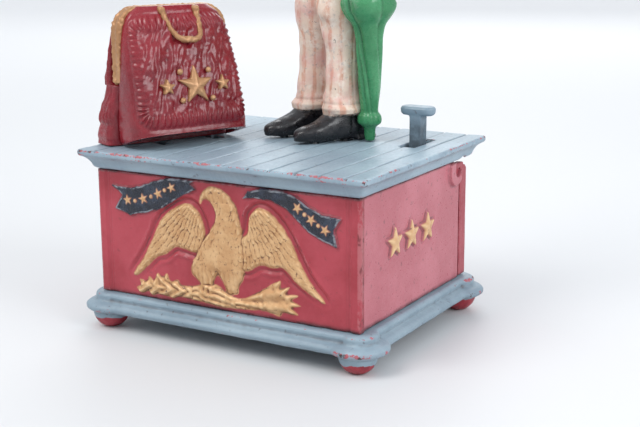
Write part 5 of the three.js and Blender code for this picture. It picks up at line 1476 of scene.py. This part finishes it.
def grimed_and_shaded(g, tone, low, high):
    """Painted shade with some grime where a wall meets its neighbours: a dark band up from the base and down under the
    lid, low and high in metres.
    """
    z = g.add("ShaderNodeSeparateXYZ")
    g.join(z.inputs[0], g.place)
    ragged = g.ramp(g.noise(140, 4, 0.6), 0.3, 0.7, 0.35, 1.0)
    foot = g.ramp(z.outputs[2], low + GRIME_AND_SHADE_REACH, low + 0.0003)
    head_line = g.ramp(z.outputs[2], high - GRIME_AND_SHADE_REACH * 0.6, high - 0.0002)
    return g.mix(g.math("MULTIPLY", g.math("MAXIMUM", foot, head_line), g.math("MULTIPLY", ragged, 0.85)), tone,
        rgb(56, 34, 34))


def front_paint():
    g = paint("front_paint", RED, rgb(170, 62, 74), PINK, 0.40, 0.5, edge=(0.06, 0.2))
    gilt, navy = g.attribute("gilt"), g.attribute("navy")
    # painted shade and grime along the foot of the plate and under the lid
    red = grimed_and_shaded(g, g.bsdf.inputs["Base Color"].links[0].from_socket, 0.0153, 0.0652)
    bend = g.attribute("bend")
    dark = g.mix(g.ramp(g.noise(240, 4, 0.6), 0.4, 0.7), rgb(22, 27, 40), rgb(44, 53, 70))
    dark = g.mix(g.math("MULTIPLY", g.ramp(bend, 0.03, 0.12), g.ramp(g.noise(300, 3), 0.45, 0.6)), dark,
        rgb(120, 124, 132))
    g.set("Base Color", gilded(g, g.mix(navy, red, dark), gilt))
    g.set("Roughness", g.math("ADD", g.ramp(g.noise(700, 3), 0.3, 0.7, 0.34, 0.56), g.math("MULTIPLY", navy, -0.14)))
    g.set("Metallic", g.math("MULTIPLY", gilt, 0.2))
    return g.mat


def side_sheen_paint():
    # the side plates are painted a paler, pinker red than the front: painted sheen for the light that grazes them
    g = paint("side_sheen_paint", rgb(172, 92, 102), rgb(186, 108, 118), rgb(150, 60, 66), 0.34, 0.8)
    # painted shade and grime along the foot of the plate and under the lid
    rose_sheen = grimed_and_shaded(g, g.bsdf.inputs["Base Color"].links[0].from_socket, 0.0153, 0.0652)
    g.set("Base Color", gilded(g, rose_sheen, g.attribute("gilt")))
    return g.mat


def door_paint():
    g = paint("door_paint", rgb(150, 52, 64), rgb(166, 74, 84), PINK, 0.38, 0.9)
    # painted shade and grime along the foot of the door and under the lid
    g.set("Base Color", grimed_and_shaded(g, g.bsdf.inputs["Base Color"].links[0].from_socket, 0.0150, 0.0660))
    return g.mat


def lid_paint():
    g = paint("lid_paint", BLUE_GREY, BLUE_PALE, rgb(170, 96, 102), 0.42, 1.0, streak=(900, 60, 40),
        dirt_and_shade=rgb(74, 62, 66), edge=(0.05, 0.2))
    grey = g.bsdf.inputs["Base Color"].links[0].from_socket
    line = g.math("MULTIPLY", g.attribute("line"), g.ramp(g.noise(60, 4, 0.6), 0.3, 0.6, 0.25, 0.8))
    g.set("Base Color", g.mix(line, grey, rgb(92, 104, 116)))
    return g.mat


def lever_paint():
    g = paint("lever_paint", rgb(112, 132, 146), rgb(130, 150, 164), rgb(96, 92, 96), 0.42, 0.8)
    grey = g.bsdf.inputs["Base Color"].links[0].from_socket
    z = g.add("ShaderNodeSeparateXYZ")
    g.join(z.inputs[0], g.place)
    # the lever is darker low down: full below 79.5 mm, gone by 85.5 mm
    darker_low = g.math("MULTIPLY", g.ramp(z.outputs[2], 0.0855, 0.0795), g.ramp(g.noise(180, 4, 0.65), 0.3, 0.6, 0.3, 0.9))
    g.set("Base Color", g.mix(darker_low, grey, rgb(62, 72, 80)))
    return g.mat


def base_paint():
    g = paint("base_paint", rgb(122, 141, 154), rgb(138, 157, 169), rgb(168, 84, 92), 0.44, 1.0, edge=(0.06, 0.24))
    grey = g.bsdf.inputs["Base Color"].links[0].from_socket
    foot = g.attribute("foot")
    ragged = g.math("ADD", foot, g.ramp(g.noise(150, 4, 0.65), 0.3, 0.7, -0.45, 0.45))
    red = g.mix(g.ramp(g.noise(200, 4), 0.4, 0.7), rgb(160, 48, 60), rgb(128, 30, 42))
    g.set("Base Color", g.mix(g.ramp(ragged, 0.44, 0.56), grey, red))
    return g.mat


def figure_paint():
    """The gentleman's enamels: colour and gloss come with the mesh, stripes and age are added here."""
    g = Graph("figure_paint")
    tone = g.attribute("paint", True)
    gloss, stripes = g.attribute("gloss"), g.attribute("stripes")
    band = g.math("SINE", g.math("ADD", g.math("MULTIPLY", g.attribute("around"), 10.0),
        g.ramp(g.noise(70, 4, 0.6), 0.3, 0.7, -1.1, 1.1)))
    brushed = g.ramp(g.noise(1, 5, 0.7, g.scaled(700, 700, 90)), 0.34, 0.6)
    line = g.math("MULTIPLY", g.math("MULTIPLY", g.ramp(band, -0.2, 0.8), brushed), stripes)
    tone = g.mix(g.math("MULTIPLY", line, 0.66), tone, rgb(200, 128, 98))
    pale = g.math("MULTIPLY", g.ramp(g.noise(260, 5, 0.7), 0.5, 0.62), stripes)
    tone = g.mix(g.math("MULTIPLY", pale, 0.5), tone, rgb(236, 228, 218))
    pink = g.math("MULTIPLY", g.ramp(g.noise(75, 4, 0.6), 0.46, 0.66), stripes)
    tone = g.mix(g.math("MULTIPLY", pink, 0.5), tone, rgb(218, 150, 146))
    rubs = g.math("MULTIPLY", g.ramp(g.noise(420, 5, 0.7), 0.56, 0.66), stripes)
    tone = g.mix(g.math("MULTIPLY", rubs, 0.45), tone, rgb(150, 146, 148))
    cloud = g.ramp(g.noise(90, 5, 0.6), 0.3, 0.72, 0.0, 0.32)
    tone = g.mix(g.math("MULTIPLY", cloud, g.math("SUBTRACT", 1.0, g.math("MULTIPLY", gloss, 0.85))), tone,
        g.mix(0.5, tone, rgb(96, 84, 80)))
    bend = g.attribute("bend")
    tone = g.mix(g.ramp(bend, -0.05, -0.4, 0, 0.6), tone, rgb(58, 44, 40))
    worn = g.math("MULTIPLY", g.ramp(bend, 0.1, 0.4), g.ramp(g.noise(330, 4, 0.7), 0.5, 0.6, 0, 0.6))
    tone = g.mix(worn, tone, rgb(170, 150, 140))
    tone = g.mix(g.ramp(g.noise(700, 2), 0.7, 0.75, 0, 0.6), tone, rgb(70, 56, 50))
    g.set("Base Color", tone)
    rough = g.math("SUBTRACT", g.ramp(g.noise(500, 3), 0.3, 0.7, 0.48, 0.66), g.math("MULTIPLY", gloss, 0.26))
    g.set("Roughness", rough)
    g.bump((g.noise(260, 4), 0.14, 0.0006), (g.noise(1300, 3), 0.2, 0.0002))
    return g.mat


def eye_paint():
    g = Graph("eye_paint")
    d = g.attribute("iris")
    tone = g.mix(g.ramp(d, 0.74, 0.82), rgb(84, 108, 128), rgb(232, 228, 220))
    tone = g.mix(g.ramp(d, 0.38, 0.3), tone, rgb(18, 18, 22))
    tone = g.mix(g.ramp(g.noise(900, 3), 0.6, 0.75, 0, 0.3), tone, rgb(150, 120, 110))
    g.set("Base Color", tone)
    g.set("Roughness", g.ramp(g.noise(600), 0.3, 0.7, 0.2, 0.32))
    g.bump((g.noise(900), 0.08, 0.0002))
    return g.mat


def umbrella_paint():
    g = paint("umbrella_paint", rgb(70, 146, 98), rgb(44, 116, 72), rgb(120, 150, 124), 0.2, 0.35,
        streak=(300, 300, 30), dirt_and_shade=rgb(30, 88, 54))
    green = g.bsdf.inputs["Base Color"].links[0].from_socket
    knob = g.mix(g.ramp(g.noise(120, 4), 0.4, 0.7), rgb(92, 60, 38), rgb(60, 38, 26))
    upper = g.ramp(g.attribute("up"), 78, 80)
    tone = g.mix(g.math("MULTIPLY", upper, g.math("SUBTRACT", 1.0, g.attribute("cloth"))), green, knob)
    g.set("Base Color", tone)
    g.set("Roughness", g.ramp(g.noise(500, 3), 0.3, 0.7, 0.2, 0.42))
    return g.mat


def satchel_paint():
    # the deeper red in the hollows of the gathers is painted shade
    g = paint("satchel_paint", rgb(134, 34, 44), rgb(112, 24, 34), rgb(170, 86, 96), 0.22, 0.3, dirt_and_shade=rgb(82, 14, 22),
        edge=(0.10, 0.5), hollow=(0.08, 0.5))
    g.bump((g.noise(300, 4, 0.6), 0.2, 0.0007), (g.cells(900), 0.08, 0.0002))
    return g.mat


def gilt_paint():
    g = paint("gilt_paint", rgb(166, 122, 84), rgb(188, 146, 106), rgb(122, 60, 50), 0.38, 0.6, dirt_and_shade=rgb(98, 58, 44),
        edge=(0.1, 0.35))
    g.set("Metallic", g.ramp(g.noise(200, 3), 0.3, 0.7, 0.25, 0.45))
    return g.mat


# ---------------------------------------------------------------- make it all
camera_and_stage()
steel_bare = metal("bare_steel", rgb(150, 150, 152), rgb(104, 100, 98)).mat
brass = metal("old_brass", rgb(196, 158, 92), rgb(138, 100, 52), 0.28).mat
spring = metal("spring_steel", rgb(120, 122, 128), rgb(84, 80, 78), 0.24).mat

front_casting(front_paint())
base_casting(base_paint())
wall = side_sheen_paint()
for node in ("left_plate", "right_plate"):
    casting(node, wall, finish=side_finish)
casting("rear_door", door_paint())
casting("lid", lid_paint(), 0.5, lid_finish)
casting("press_lever", lever_paint(), 0.4, lever_finish)

figure = figure_paint()
rivet_heads(figure, gentleman(figure))
head(figure)
eyes(eye_paint())
hat(figure)
beard(figure)
right_arm(figure)
umbrella(umbrella_paint())

spring_coil(spring)
cloth = satchel_paint()
bag_front(cloth)
bag_back(cloth)
bag_frame(gilt_paint())

for node, source in frame["nodes"].items():
    finish = brass if node in ("lock_barrel", "lock_nut", "lock_plug") else steel_bare
    for place in source.material_slots:
        place.material = finish
